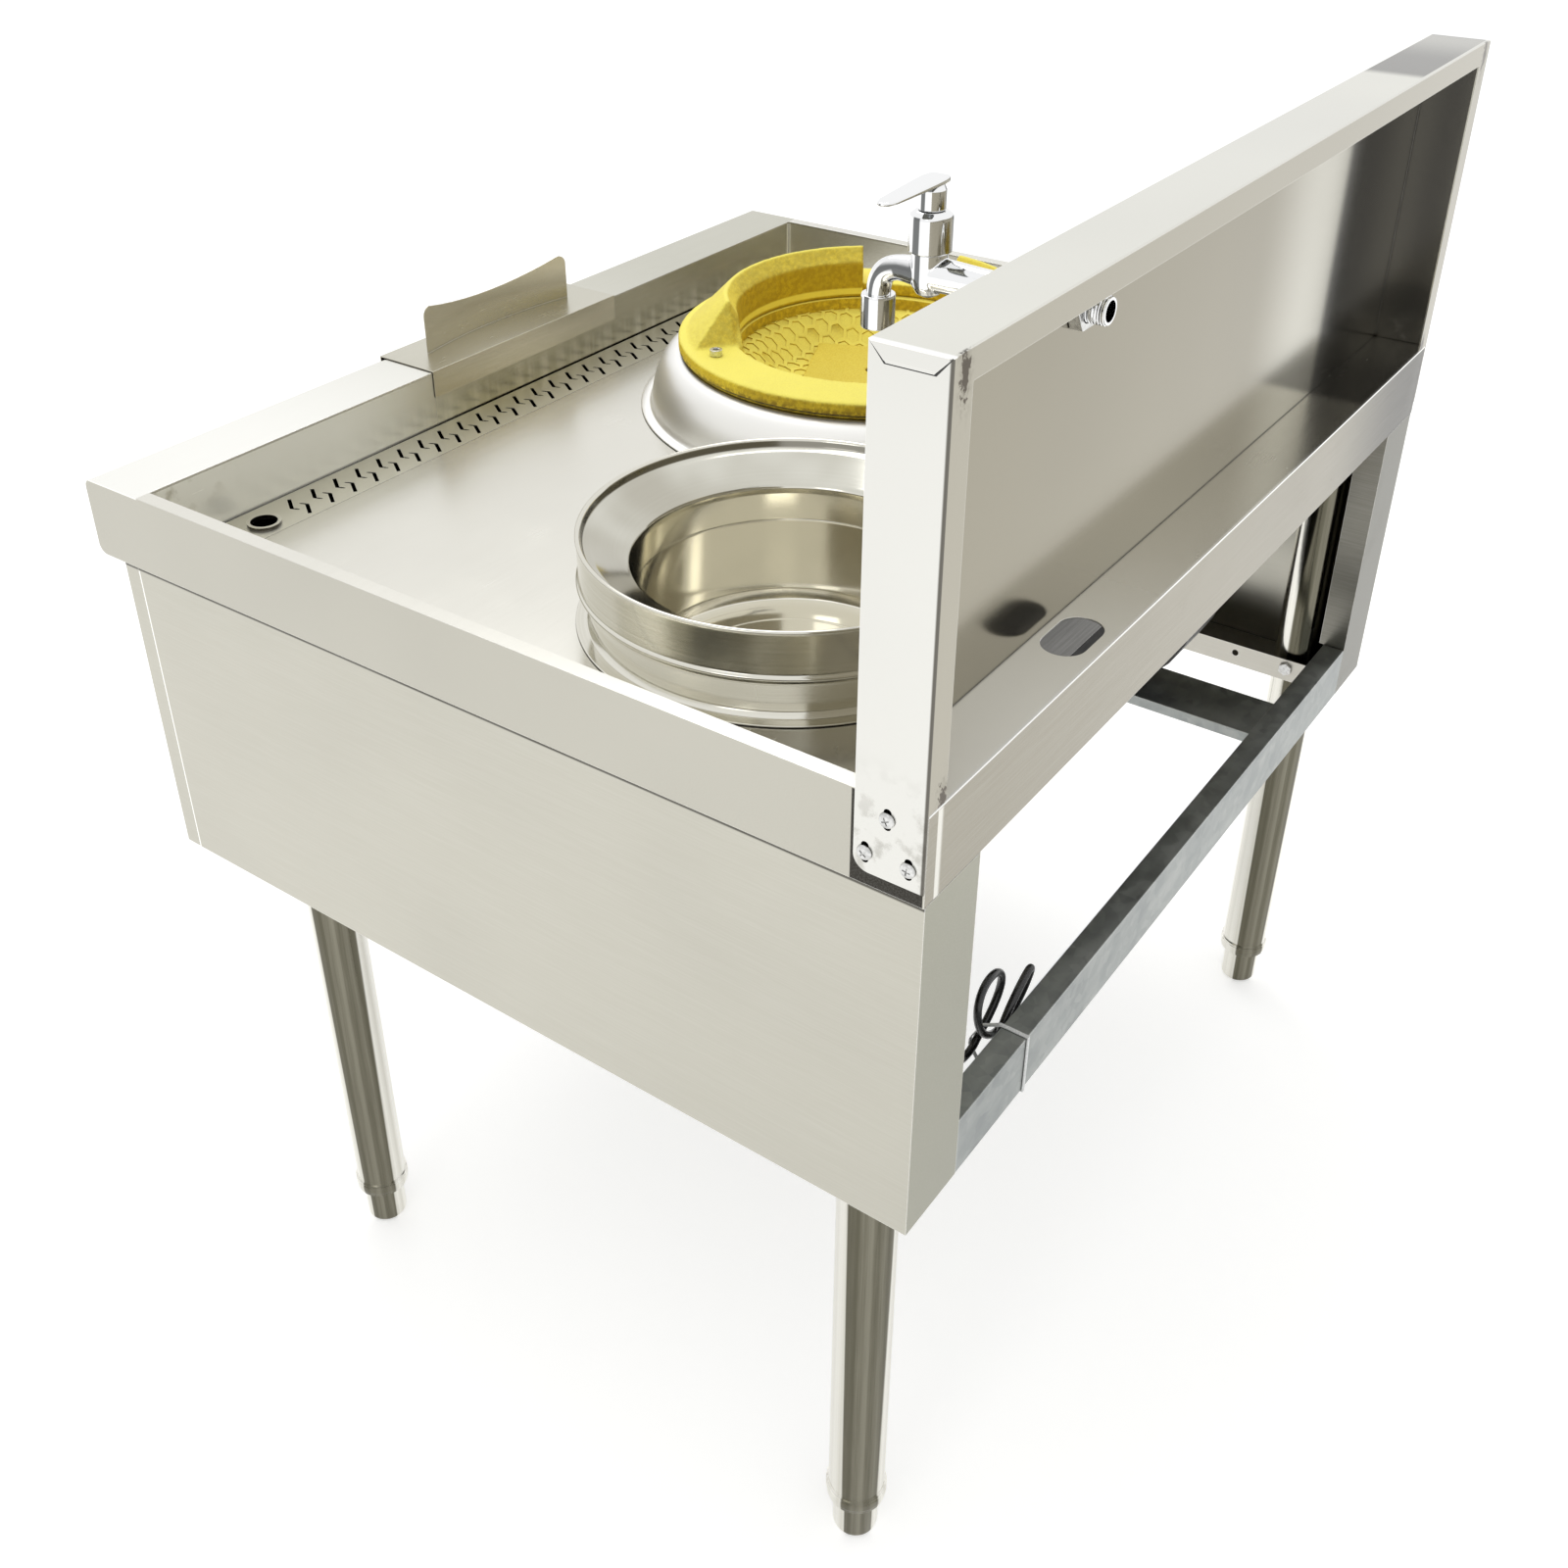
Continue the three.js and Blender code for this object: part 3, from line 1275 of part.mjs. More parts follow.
// The least gap that a cord keeps to itself, away from its own neighbouring points.
function leastGap(points) {
  const curve = new THREE.CatmullRomCurve3(points);
  const samples = curve.getSpacedPoints(400);
  const apart = Math.ceil((400 * 8 * cordRadius) / curve.getLength());
  let least = Infinity;
  for (let i = 0; i < samples.length; i++) {
    for (let j = i + apart; j < samples.length; j++) {
      least = Math.min(least, samples[i].distanceTo(samples[j]));
    }
  }
  return least - 2 * cordRadius;
}
console.log(`cord_hank keeps ${leastGap(hankPath).toFixed(2)} mm to itself`);

place("cord_hank", cordTube(hankPath, 6, hankLoops * stepsPerLoop + 2), blackRubber);

// The lead's free points, from the cabinet's lower rear right corner: left of it, before it, above it.
const fromCorner = (points) => points.map(([left, before, above]) =>
  new THREE.Vector3(halfWidth - left, rearY - before, bodyBottom + above));
const beforeHank = (distance) => hankPath[0].clone().addScaledVector(hankIn, -distance);
const afterHank = (distance) => hankPath.at(-1).clone().addScaledVector(hankOut, distance);
const glandFoot = glandTop - glandLength - seatGap;

// From the gland down and over the side rail's lip, then along behind the rear rail up into the hank.
const leadPoints = [
  new THREE.Vector3(glandX, glandY, glandFoot),
  ...fromCorner([
    [43.6, 134, 70],
    [47, 133.5, 58],
    [56, 132, 48],
    [68, 129, 42],
    [80, 123, 38],
    [92, 113, 34],
    [104, 100, 29],
    [116, 86, 23],
    [128, 72, 17],
    [140, 59, 11],
    [152, 48, 5],
    [164, 39, 0],
    [176, 33, 0],
    [187, 30, 5],
  ]),
  beforeHank(2.5 * cordRadius),
  beforeHank(seatGap),
];
place("cord_lead", cordTube(leadPoints, cordSides, 22), blackRubber);

// From the hank up to the cook's right, over the lip and down to the plug on the side rail.
const plugX = halfWidth - plugInset;
const plugY = rearY - plugRearInset;
const plugFloor = bodyBottom + sheet + seatGap;
const plugZ = plugFloor + plugHeight / 2;
const tailPoints = [
  afterHank(seatGap),
  afterHank(2.5 * cordRadius),
  ...fromCorner([
    [167, 46, 23],
    [155, 45, 28],
    [143, 44, 37],
    [131, 45, 47],
    [119, 50, 55],
    [107, 59, 58],
    [98, 71, 57],
    [89, 85, 49],
    [80, 99, 40],
    [70, 112, 33],
    [59, 126, 25],
    [49, 140, 19],
    [43, 154, 16],
  ]),
  new THREE.Vector3(plugX, plugY + 8, plugZ),
  new THREE.Vector3(plugX, plugY + seatGap, plugZ),
];
place("cord_tail", cordTube(tailPoints, cordSides, 22), blackRubber);

function powerPlug() {
  const nose = plugY - plugLength;
  const body = prism(roundedBox(plugZ, plugX, plugHeight, plugWidth, 5), "y", nose, plugY - 12, 3);
  const neck = roundedBox(plugZ, plugX, plugHeight - 8, plugWidth - 14, 5);
  const shoulder = prism(neck, "y", plugY - 13, plugY - 6, 3);
  const relief = rod(cordRadius + 2.5, "y", plugZ, plugX, plugY - 8, plugY, 16);
  const pins = [-1, 0, 1].map((n) =>
    block(plugX + 9 * n - 1, plugX + 9 * n + 1, nose - 18, nose + 1, plugZ - 3 - n * n, plugZ + 4 - n * n));
  return join(body, shoulder, relief, ...pins);
}
place("power_plug", powerPlug(), blackRubber);

// The tie is pulled tight round the rail and what passes behind it.
function convexHull(points) {
  const sorted = [...points].sort((p, q) => p[0] - q[0] || p[1] - q[1]);
  const turn = (o, p, q) => (p[0] - o[0]) * (q[1] - o[1]) - (p[1] - o[1]) * (q[0] - o[0]);
  const chain = (list) => {
    const kept = [];
    for (const p of list) {
      while (kept.length > 1 && turn(kept.at(-2), kept.at(-1), p) <= 0) kept.pop();
      kept.push(p);
    }
    return kept.slice(0, -1);
  };
  return [...chain(sorted), ...chain(sorted.reverse())];
}

function cableTie() {
  const tieX = halfWidth - tieInset;
  const near = [leadPoints, hankPath, tailPoints]
    .flatMap((points) => new THREE.CatmullRomCurve3(points).getSpacedPoints(300))
    .filter((p) => Math.abs(p.x - tieX) < tieWidth / 2 + 3 && p.z < railTop);
  const around = (grow) => {
    const corners = (y0, y1, z0, z1) =>
      [y0 - grow, y1 + grow].flatMap((y) => [z0 - grow, z1 + grow].map((z) => [y, z]));
    const strands = near.flatMap(({ y, z }) =>
      Array.from({ length: 8 }, (_, i) => [
        y + (cordRadius + grow) * Math.cos((Math.PI * i) / 4),
        z + (cordRadius + grow) * Math.sin((Math.PI * i) / 4),
      ]));
    return outline(convexHull([...corners(rearRailFront, rearY, bodyBottom, railTop), ...strands]));
  };
  const [x0, x1] = [tieX - tieWidth / 2, tieX + tieWidth / 2];
  return cut(
    prism(around(seatGap + tieThickness), "x", x0, x1),
    prism(around(seatGap), "x", x0 - 1, x1 + 1),
  );
}
place("cable_tie", cableTie(), whitePlastic);

export default range;
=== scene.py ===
# %% [markdown]
# # Dressing a wok range in Blender
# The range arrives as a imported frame: sixty plain solids in metres, +Z up, with the cook at -Y.
# Each solid is at its real size and place, so nothing here is moved or fitted.
# The lesson gives the solids their finishes, and makes finer meshes for the pieces that show.

import json
import math

import bmesh
import bpy
from mathutils import Matrix, Vector, noise

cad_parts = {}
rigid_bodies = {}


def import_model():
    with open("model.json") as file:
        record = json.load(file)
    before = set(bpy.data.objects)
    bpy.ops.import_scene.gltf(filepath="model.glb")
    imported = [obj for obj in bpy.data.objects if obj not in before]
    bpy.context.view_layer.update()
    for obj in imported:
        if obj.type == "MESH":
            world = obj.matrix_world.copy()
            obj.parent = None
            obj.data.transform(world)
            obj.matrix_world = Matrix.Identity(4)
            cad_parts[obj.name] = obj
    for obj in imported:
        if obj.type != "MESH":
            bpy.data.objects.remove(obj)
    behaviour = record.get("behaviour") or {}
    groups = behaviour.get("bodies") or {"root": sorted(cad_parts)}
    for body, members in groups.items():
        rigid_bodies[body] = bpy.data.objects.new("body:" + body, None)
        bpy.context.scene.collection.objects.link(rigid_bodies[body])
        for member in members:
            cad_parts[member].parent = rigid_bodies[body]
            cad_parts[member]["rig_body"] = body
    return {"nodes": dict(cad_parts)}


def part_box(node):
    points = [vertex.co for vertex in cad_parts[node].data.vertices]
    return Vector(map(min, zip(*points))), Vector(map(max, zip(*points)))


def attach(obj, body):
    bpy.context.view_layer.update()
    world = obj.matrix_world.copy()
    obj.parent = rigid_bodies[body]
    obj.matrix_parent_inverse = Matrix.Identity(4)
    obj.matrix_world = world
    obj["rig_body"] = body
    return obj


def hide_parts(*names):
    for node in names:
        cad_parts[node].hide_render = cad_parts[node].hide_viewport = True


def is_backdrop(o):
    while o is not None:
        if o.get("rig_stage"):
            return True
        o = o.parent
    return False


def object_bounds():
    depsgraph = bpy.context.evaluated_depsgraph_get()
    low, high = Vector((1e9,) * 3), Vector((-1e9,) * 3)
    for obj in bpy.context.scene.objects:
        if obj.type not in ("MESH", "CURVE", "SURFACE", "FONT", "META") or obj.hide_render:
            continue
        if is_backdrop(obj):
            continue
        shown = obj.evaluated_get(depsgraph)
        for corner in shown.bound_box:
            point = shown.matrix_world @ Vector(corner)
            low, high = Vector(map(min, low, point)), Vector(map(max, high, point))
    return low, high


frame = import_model()
cad_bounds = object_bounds()
nodes = frame["nodes"]
mm = 0.001

# %% [markdown]
# ## The camera
# A photograph fixes the camera: where it stands, which way it looks and how wide it sees.
# The picture is a crop of a larger one, so its optical centre lies off the middle of the frame.
# Blender calls that offset the lens shift, and it is worked out here from the optical centre.

# %% The camera
frame_px = 1600
focal_px = 1701.65
optical_centre_px = (766.01, 678.66)
sensor_mm = 36
camera_spot = Vector((1.24015, 0.84022, 1.47739))
azimuth, elevation, roll = (math.radians(angle) for angle in (126.27, 31.40, -0.53))

away = Vector((
    math.sin(azimuth) * math.cos(elevation),
    -math.cos(azimuth) * math.cos(elevation),
    math.sin(elevation),
))
level_right = (-away).cross(Vector((0, 0, 1))).normalized()
level_up = level_right.cross(-away)
right = math.cos(roll) * level_right + math.sin(roll) * level_up
up = math.cos(roll) * level_up - math.sin(roll) * level_right

camera = bpy.data.objects.new("camera", bpy.data.cameras.new("camera"))
camera.data.sensor_width = sensor_mm
camera.data.lens = focal_px * sensor_mm / frame_px
camera.data.shift_x = 0.5 - optical_centre_px[0] / frame_px
camera.data.shift_y = optical_centre_px[1] / frame_px - 0.5
camera.matrix_world = Matrix.Translation(camera_spot) @ Matrix((right, up, away)).transposed().to_4x4()
bpy.context.scene.collection.objects.link(camera)
bpy.context.scene.camera = camera
print(f"lens {camera.data.lens:.1f} mm")

# %% [markdown]
# ## The mains lead
# The blower's lead leaves a gland under the wiring box, runs over the side rail and is drawn
# together in two loops at a nylon tie on the rear rail. Its plug lies on the side rail.
# A cord is a fixed length on one smooth curve, so its route is a list of points for the free
# stretches and a formula for the loops. A Bezier spline through the points, with handles a third
# of each step long, gives the smooth line, and the curve's own bevel gives the round sheath.

# %% The lead's route
cord_radius = 3.5 * mm
hank_spot = Vector((307, 405.8, 499)) * mm
hank_step = 8.6 * mm
hank_loops = 2
steps_per_loop = 24


def hank_point(turn):
    """A point of the two loops: each leaves and comes back to the tie, the second leaning less."""
    swing = turn - 0.5
    lean = math.radians(-60 + 62 * swing)
    outward = (66 - 6 * swing) / 2 * (1 - math.cos(2 * math.pi * turn)) * mm
    across = (22 + 11 * swing) * math.sin(2 * math.pi * turn) * mm
    return hank_spot + Vector((
        outward * math.sin(lean) + across * math.cos(lean),
        -hank_step * turn,
        outward * math.cos(lean) - across * math.sin(lean),
    ))


def beyond(end, before, distance):
    """A point straight on past the end of a line."""
    return end + (end - before).normalized() * distance


loops = [hank_point(i / steps_per_loop) for i in range(hank_loops * steps_per_loop + 1)]
straight = 2 * cord_radius
loops.insert(0, beyond(loops[0], loops[1], straight))
loops.append(beyond(loops[-1], loops[-2], straight))
lead_in = [Vector(p) * mm for p in (
    (456.4, 300, 545.4), (456.4, 300, 536), (453, 300.5, 524), (444, 302, 514), (432, 305, 508),
    (420, 311, 504), (408, 321, 500), (396, 334, 495), (384, 348, 489), (372, 362, 483),
    (360, 375, 477), (348, 386, 471), (336, 395, 466), (324, 401, 466), (313, 404, 471),
)]
lead_out = [Vector(p) * mm for p in (
    (333, 388, 489), (345, 389, 494), (357, 390, 503), (369, 389, 513), (381, 384, 521),
    (393, 375, 524), (402, 363, 523), (411, 349, 515), (420, 335, 506), (430, 322, 499),
    (441, 308, 491), (451, 294, 485), (457, 280, 482), (459, 270, 481.3), (459, 262.3, 481.3),
)]
bridge = 2.5 * cord_radius
route = [
    *lead_in,
    beyond(loops[0], loops[1], bridge),
    *loops,
    beyond(loops[-1], loops[-2], bridge),
    *lead_out,
]
lead_length = sum((b - a).length for a, b in zip(route, route[1:]))
print(f"the lead is about {lead_length:.3f} m long")

# %% The lead as a curve


def smooth_curve(name, points, radius, sides):
    """One open Bezier spline through the points, with a round section."""
    data = bpy.data.curves.new(name, "CURVE")
    data.dimensions = "3D"
    data.bevel_depth = radius
    data.bevel_resolution = sides
    data.resolution_u = 6
    data.use_fill_caps = True
    spline = data.splines.new("BEZIER")
    spline.bezier_points.add(len(points) - 1)
    for i, (knot, here) in enumerate(zip(spline.bezier_points, points)):
        before, after = points[max(i - 1, 0)], points[min(i + 1, len(points) - 1)]
        along = (after - before).normalized()
        knot.co = here
        knot.handle_left = here - along * (here - before).length / 3
        knot.handle_right = here + along * (after - here).length / 3
    made = bpy.data.objects.new(name, data)
    bpy.context.scene.collection.objects.link(made)
    return made


mains_lead = smooth_curve("mains_lead", route, cord_radius, 4)

# %% [markdown]
# ## Expressions that build nodes
# Both materials and Geometry Nodes are graphs of small nodes. Wiring each Math node by hand hides
# the idea behind a pattern. This class wraps a socket and overloads Python's operators, so an
# expression such as `1 - mask * 0.3` adds its Math nodes by itself. Every other node comes from
# one method, which takes the node's type, its settings, and the values or links of its sockets.

# %% Signals and graphs


class Signal:
    """An output socket that takes part in Python expressions."""

    def __init__(self, graph, socket):
        self.graph, self.socket = graph, socket

    def math(self, operation, *others):
        return self.graph.add("ShaderNodeMath", {"operation": operation}, {
            i: value for i, value in enumerate((self, *others))
        })

    def __add__(self, other):
        return self.math("ADD", other)

    def __sub__(self, other):
        return self.math("SUBTRACT", other)

    def __rsub__(self, other):
        return self.math("MULTIPLY", -1).math("ADD", other)

    def __mul__(self, other):
        return self.math("MULTIPLY", other)

    def __truediv__(self, other):
        return self.math("DIVIDE", other)

    __radd__, __rmul__ = __add__, __mul__

    def size(self):
        """The signal without its sign."""
        return self.math("ABSOLUTE")

    def ramp(self, low, high, to_low=0.0, to_high=1.0):
        """A smooth step from one value to another."""
        sockets = {
            "Value": self, "From Min": low, "From Max": high, "To Min": to_low, "To Max": to_high}
        return self.graph.add("ShaderNodeMapRange", {"interpolation_type": "SMOOTHSTEP"}, sockets)


class Graph:
    """A node tree under construction."""

    def __init__(self, tree):
        self.tree = tree

    def add(self, kind, settings=None, sockets=None, out=0):
        """Adds a node, makes its settings, then feeds its sockets. Gives one output, or all for None."""
        node = self.tree.nodes.new(kind)
        for key, value in (settings or {}).items():
            setattr(node, key, value)
        for key, value in (sockets or {}).items():
            self.feed(node.inputs[key], value)
        if out is None:
            return [Signal(self, output) for output in node.outputs]
        return Signal(self, node.outputs[out])

    def feed(self, socket, value):
        if isinstance(value, Signal):
            self.tree.links.new(value.socket, socket)
        elif isinstance(value, (list, tuple)) and isinstance(value[0], Signal):
            for one in value:
                self.tree.links.new(one.socket, socket)
        else:
            socket.default_value = value

    def blend(self, mask, a, b):
        """A colour that goes from a to b as the mask goes from 0 to 1."""
        first, last = (end if isinstance(end, Signal) else (*end, 1) for end in (a, b))
        return self.add("ShaderNodeMix", {"data_type": "RGBA"}, {0: mask, 6: first, 7: last}, out=2)

    def noise(self, scale, detail=2.0, stretch=(1, 1, 1), roughness=0.5):
        """Cloudy noise over the piece's own place, in cells per metre, stretched where it is asked."""
        place = self.add("ShaderNodeTexCoord", out="Object")
        spread = self.add("ShaderNodeMapping", {}, {
            "Vector": place, "Scale": tuple(scale * s for s in stretch)})
        return self.add("ShaderNodeTexNoise", {}, {
            "Vector": spread, "Scale": 1.0, "Detail": detail, "Roughness": roughness})

    def axes(self, centre=(0, 0, 0)):
        """The piece's x, y and z from a point, as three signals."""
        place = self.add("ShaderNodeTexCoord", out="Object")
        moved = self.add("ShaderNodeVectorMath", {"operation": "SUBTRACT"}, {0: place, 1: tuple(centre)})
        return self.split(moved)

    def split(self, vector):
        """The x, y and z of a vector, as three signals."""
        return self.add("ShaderNodeSeparateXYZ", {}, {0: vector}, out=None)

    def vector(self, x=0.0, y=0.0, z=0.0):
        return self.add("ShaderNodeCombineXYZ", {}, {0: x, 1: y, 2: z})


# %% [markdown]
# ## How a finish is put together
# One Principled shader stands for each real finish. What is the same all over the piece is set on
# the shader's own sockets. Only colour, roughness, metal and the bump may change over a surface.

# %% A finish


def finish(name, constants, surface=None):
    """A Principled material. Its surface function gives the sockets that vary, and maybe a height."""
    made = bpy.data.materials.new(name)
    made.use_nodes = True
    graph = Graph(made.node_tree)
    shader = made.node_tree.nodes["Principled BSDF"]
    for key, value in constants.items():
        shader.inputs[key].default_value = value
    varied = surface(graph) if surface else {}
    height = varied.pop("height", None)
    for key, value in varied.items():
        graph.feed(shader.inputs[key], value)
    if height is not None:
        signal, depth = height
        bump = graph.add("ShaderNodeBump", {}, {"Height": signal, "Distance": depth, "Strength": 1.0})
        graph.feed(shader.inputs["Normal"], bump)
    made.diffuse_color = (*shader.inputs["Base Color"].default_value[:3], 1)
    return made


# %% [markdown]
# ## Edges and joints
# Two things tell the eye that sheet metal is real: each folded edge catches a thin bright line, and
# the joints where two sheets meet lie in shade. Both are painted into the colour: a painted highlight
# on the edges and painted shade in the joints. A Bevel node finds the edges, because the normal that it
# averages turns away from the face there. Ambient Occlusion finds the joints, because nearby metal
# hides part of the sky. Both read only the shape, so they hold from every side.

# %% Edges and joints
# Painted shade in joints and seams takes this colour.
painted_shade_colour = (0.045, 0.038, 0.026)


def edge_highlight_joint_shade(graph, colour, edge=1.1 * mm, reach=5 * mm, shine=0.75, shade_strength=0.8):
    """Paints a highlight on the edges of a colour and paints shade into its joints."""
    eased = graph.add("ShaderNodeBevel", {"samples": 6}, {"Radius": edge})
    facing = graph.add("ShaderNodeNewGeometry", out="Normal")
    alike = graph.add(
        "ShaderNodeVectorMath", {"operation": "DOT_PRODUCT"}, {0: eased, 1: facing}, out="Value")
    clear = graph.add("ShaderNodeAmbientOcclusion", {"samples": 8}, {"Distance": reach}, out="AO")
    edge_highlighted = graph.blend(alike.ramp(0.985, 0.86) * shine, colour, (0.97, 0.965, 0.93))
    return graph.blend(clear.ramp(0.72, 0.36) * shade_strength, edge_highlighted, painted_shade_colour)


def along(signal, at, half):
    """1 on a line across an axis, falling to 0 at half its width."""
    return (signal - at).size().ramp(half, half * 0.5)


def no_more(signal, most=1):
    """The signal, held down to a most, as where several masks meet."""
    return signal.math("MINIMUM", most)


# %% [markdown]
# ## Stainless sheet
# The cabinet is rolled sheet with a satin finish. It has no strong pattern, only a very fine grain
# along the rolling, a slow change of tone and some hand marks that are a little duller.
# Noise that is stretched along one axis gives the grain, and two larger noises give the rest.
# Level faces are painted the palest and rear faces the darkest: painted light and shade by the way
# each face looks. The mesh's own normal tells the faces apart.

# %% Stainless sheet
along_x, along_y, along_z = (0.02, 1, 1), (1, 0.02, 1), (1, 1, 0.02)


def painted_light_by_facing(graph, level, side, rear):
    """Painted light and shade by facing: a tone for level faces, one for faces that look left or right, and
    one for front and rear.
    """
    facing = graph.add("ShaderNodeTexCoord", out="Normal")
    _, across, upward = (part.size() for part in graph.split(facing))
    upright = graph.blend(across.ramp(0.5, 0.9), side, rear)
    return graph.blend(upward.ramp(0.5, 0.9), upright, level)


def satin(level, side, rear, rough, grain, places=None, matte=None):
    """Rolled sheet. Grain is the noise's stretch on x, y and z.

    The functions places and matte change the colour and the shine of parts of the piece.
    """

    def surface(graph):
        slow = graph.noise(2.6, 2)
        marks = graph.noise(17, 3).ramp(0.55, 0.75)
        fine = graph.noise(900, 2, grain)
        # The tone of each face is painted light and shade by the way it looks.
        tone = painted_light_by_facing(graph, level, side, rear)
        cloudy = graph.blend(slow.ramp(0.32, 0.68) * 0.10, tone, (0.10, 0.095, 0.085))
        placed = places(graph, cloudy) if places else cloudy
        glinting = graph.blend(fine.ramp(0.3, 0.8) * 0.06, placed, (0.95, 0.95, 0.92))
        result = {
            "Base Color": edge_highlight_joint_shade(graph, glinting),
            "Roughness": rough + (fine - 0.5) * 0.05 + marks * 0.02,
            "height": (fine, 0.004 * mm),
        }
        if matte:
            result["Metallic"] = 1 - matte(graph)
        return result

    return surface


# %% [markdown]
# ## The panels
# Three marks on the panels are painted light and shade: a painted shadow runs under the deck's
# skirt, a painted highlight lies along the front panel's folded edge, and the rear flange on the left
# is painted in shade. Each mark is a mask made of ramps over the piece's own place, so it needs no image.

# %% The panels' finish
tray_low, tray_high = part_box("deck_tray")
skirt_foot = tray_high.z - 74 * mm
panel_low, panel_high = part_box("side_panel_right")
flange_rear, flange_inside = 0.40, -0.43


def panel_places(graph, tone):
    """A painted shadow under the skirt, a painted highlight on the front panel's fold, and painted shade on
    the left rear flange.
    """
    x, y, z = graph.axes()
    shade = y.ramp(flange_rear - 20 * mm, flange_rear) * x.ramp(flange_inside + 20 * mm, flange_inside)
    shade = shade * x.ramp(-panel_high.x + 0.7 * mm, -panel_high.x + 1.7 * mm)
    shaded = graph.blend(shade * 0.8, tone, (0.10, 0.095, 0.08))
    outer = x.size().ramp(panel_high.x - 0.7 * mm, panel_high.x - 0.2 * mm)
    skirt_shadow = along(z, skirt_foot - 1.5 * mm, 3.0 * mm) * outer
    shadow_lined = graph.blend(skirt_shadow * 0.85, shaded, (0.04, 0.036, 0.028))
    fold = along(y, panel_low.y + 1.2 * mm, 1.0 * mm) * z.ramp(skirt_foot - 4 * mm, skirt_foot - 5 * mm)
    return graph.blend(fold * outer, shadow_lined, (1.0, 0.99, 0.95))


# Each finish takes three tones, for level faces, for faces that look left or right, and for front and rear
# faces; the differences are painted light and shade.
panel_steel = finish("panel_steel", {"Metallic": 1.0}, satin(
    (0.52, 0.505, 0.44), (0.525, 0.51, 0.445), (0.34, 0.335, 0.27), 0.30, along_y, panel_places))
rail_steel = finish("rail_steel", {"Metallic": 1.0}, satin(
    (0.60, 0.58, 0.52), (0.60, 0.58, 0.52), (0.60, 0.58, 0.52), 0.30, along_y))
guard_steel = finish("guard_steel", {"Metallic": 1.0}, satin(
    (0.60, 0.58, 0.49), (0.41, 0.38, 0.29), (0.46, 0.42, 0.31), 0.26, along_x))
bell_steel = finish("bell_steel", {"Metallic": 1.0}, satin(
    (0.97, 0.965, 0.94), (0.92, 0.91, 0.87), (0.92, 0.91, 0.87), 0.40, (1, 1, 1)))

# %% [markdown]
# ## The sunk deck
# The deck is one pressed tray, and light and shade are painted into the colour of its faces. The
# upright wall under the front ledge carries a painted reflection, rippled and brown towards the left
# end, and is pale and scratched towards the right; the pan's sides are painted pale. The gutter under
# the strainer, the hollow under the shelf and the rear faces at the left are painted in shade. The
# ledge and the shelf behind the backsplash carry painted reflections, pale near the right end and
# dark at the left one, and a painted highlight runs along the shelf's rim.

# %% The deck's finish
tray_top = tray_high.z
pan_front, pan_level, pan_half = -0.360, 0.7975, 0.488
gutter_rear = -0.303
shelf_front, under_shelf = 0.383, 0.377


def painted_dark_end(x):
    """The stretch near the left end of the backsplash that is painted dark, as a painted reflection."""
    return x.ramp(-0.296, -0.318) * x.ramp(-0.485, -0.38, 0.55, 1.0)


def below_top(z):
    """What lies more than a sheet's thickness below the tray's top."""
    return z.ramp(tray_top - 1 * mm, tray_top - 3 * mm)


def on_top(z):
    """The level faces at the tray's top."""
    return z.ramp(tray_top - 2 * mm, tray_top - 1 * mm)


def front_wall(x, y, z):
    """The upright wall between the sunk deck and the front ledge."""
    upright = y.ramp(pan_front + 6 * mm, pan_front + 3 * mm) * y.ramp(pan_front - 5 * mm, pan_front - 4 * mm)
    return upright * x.size().ramp(pan_half - 0.5 * mm, pan_half - 1.5 * mm) * below_top(z)


def shelf_strip(y, z):
    """The level strip behind the backsplash."""
    return y.ramp(shelf_front - 3 * mm, shelf_front) * on_top(z)


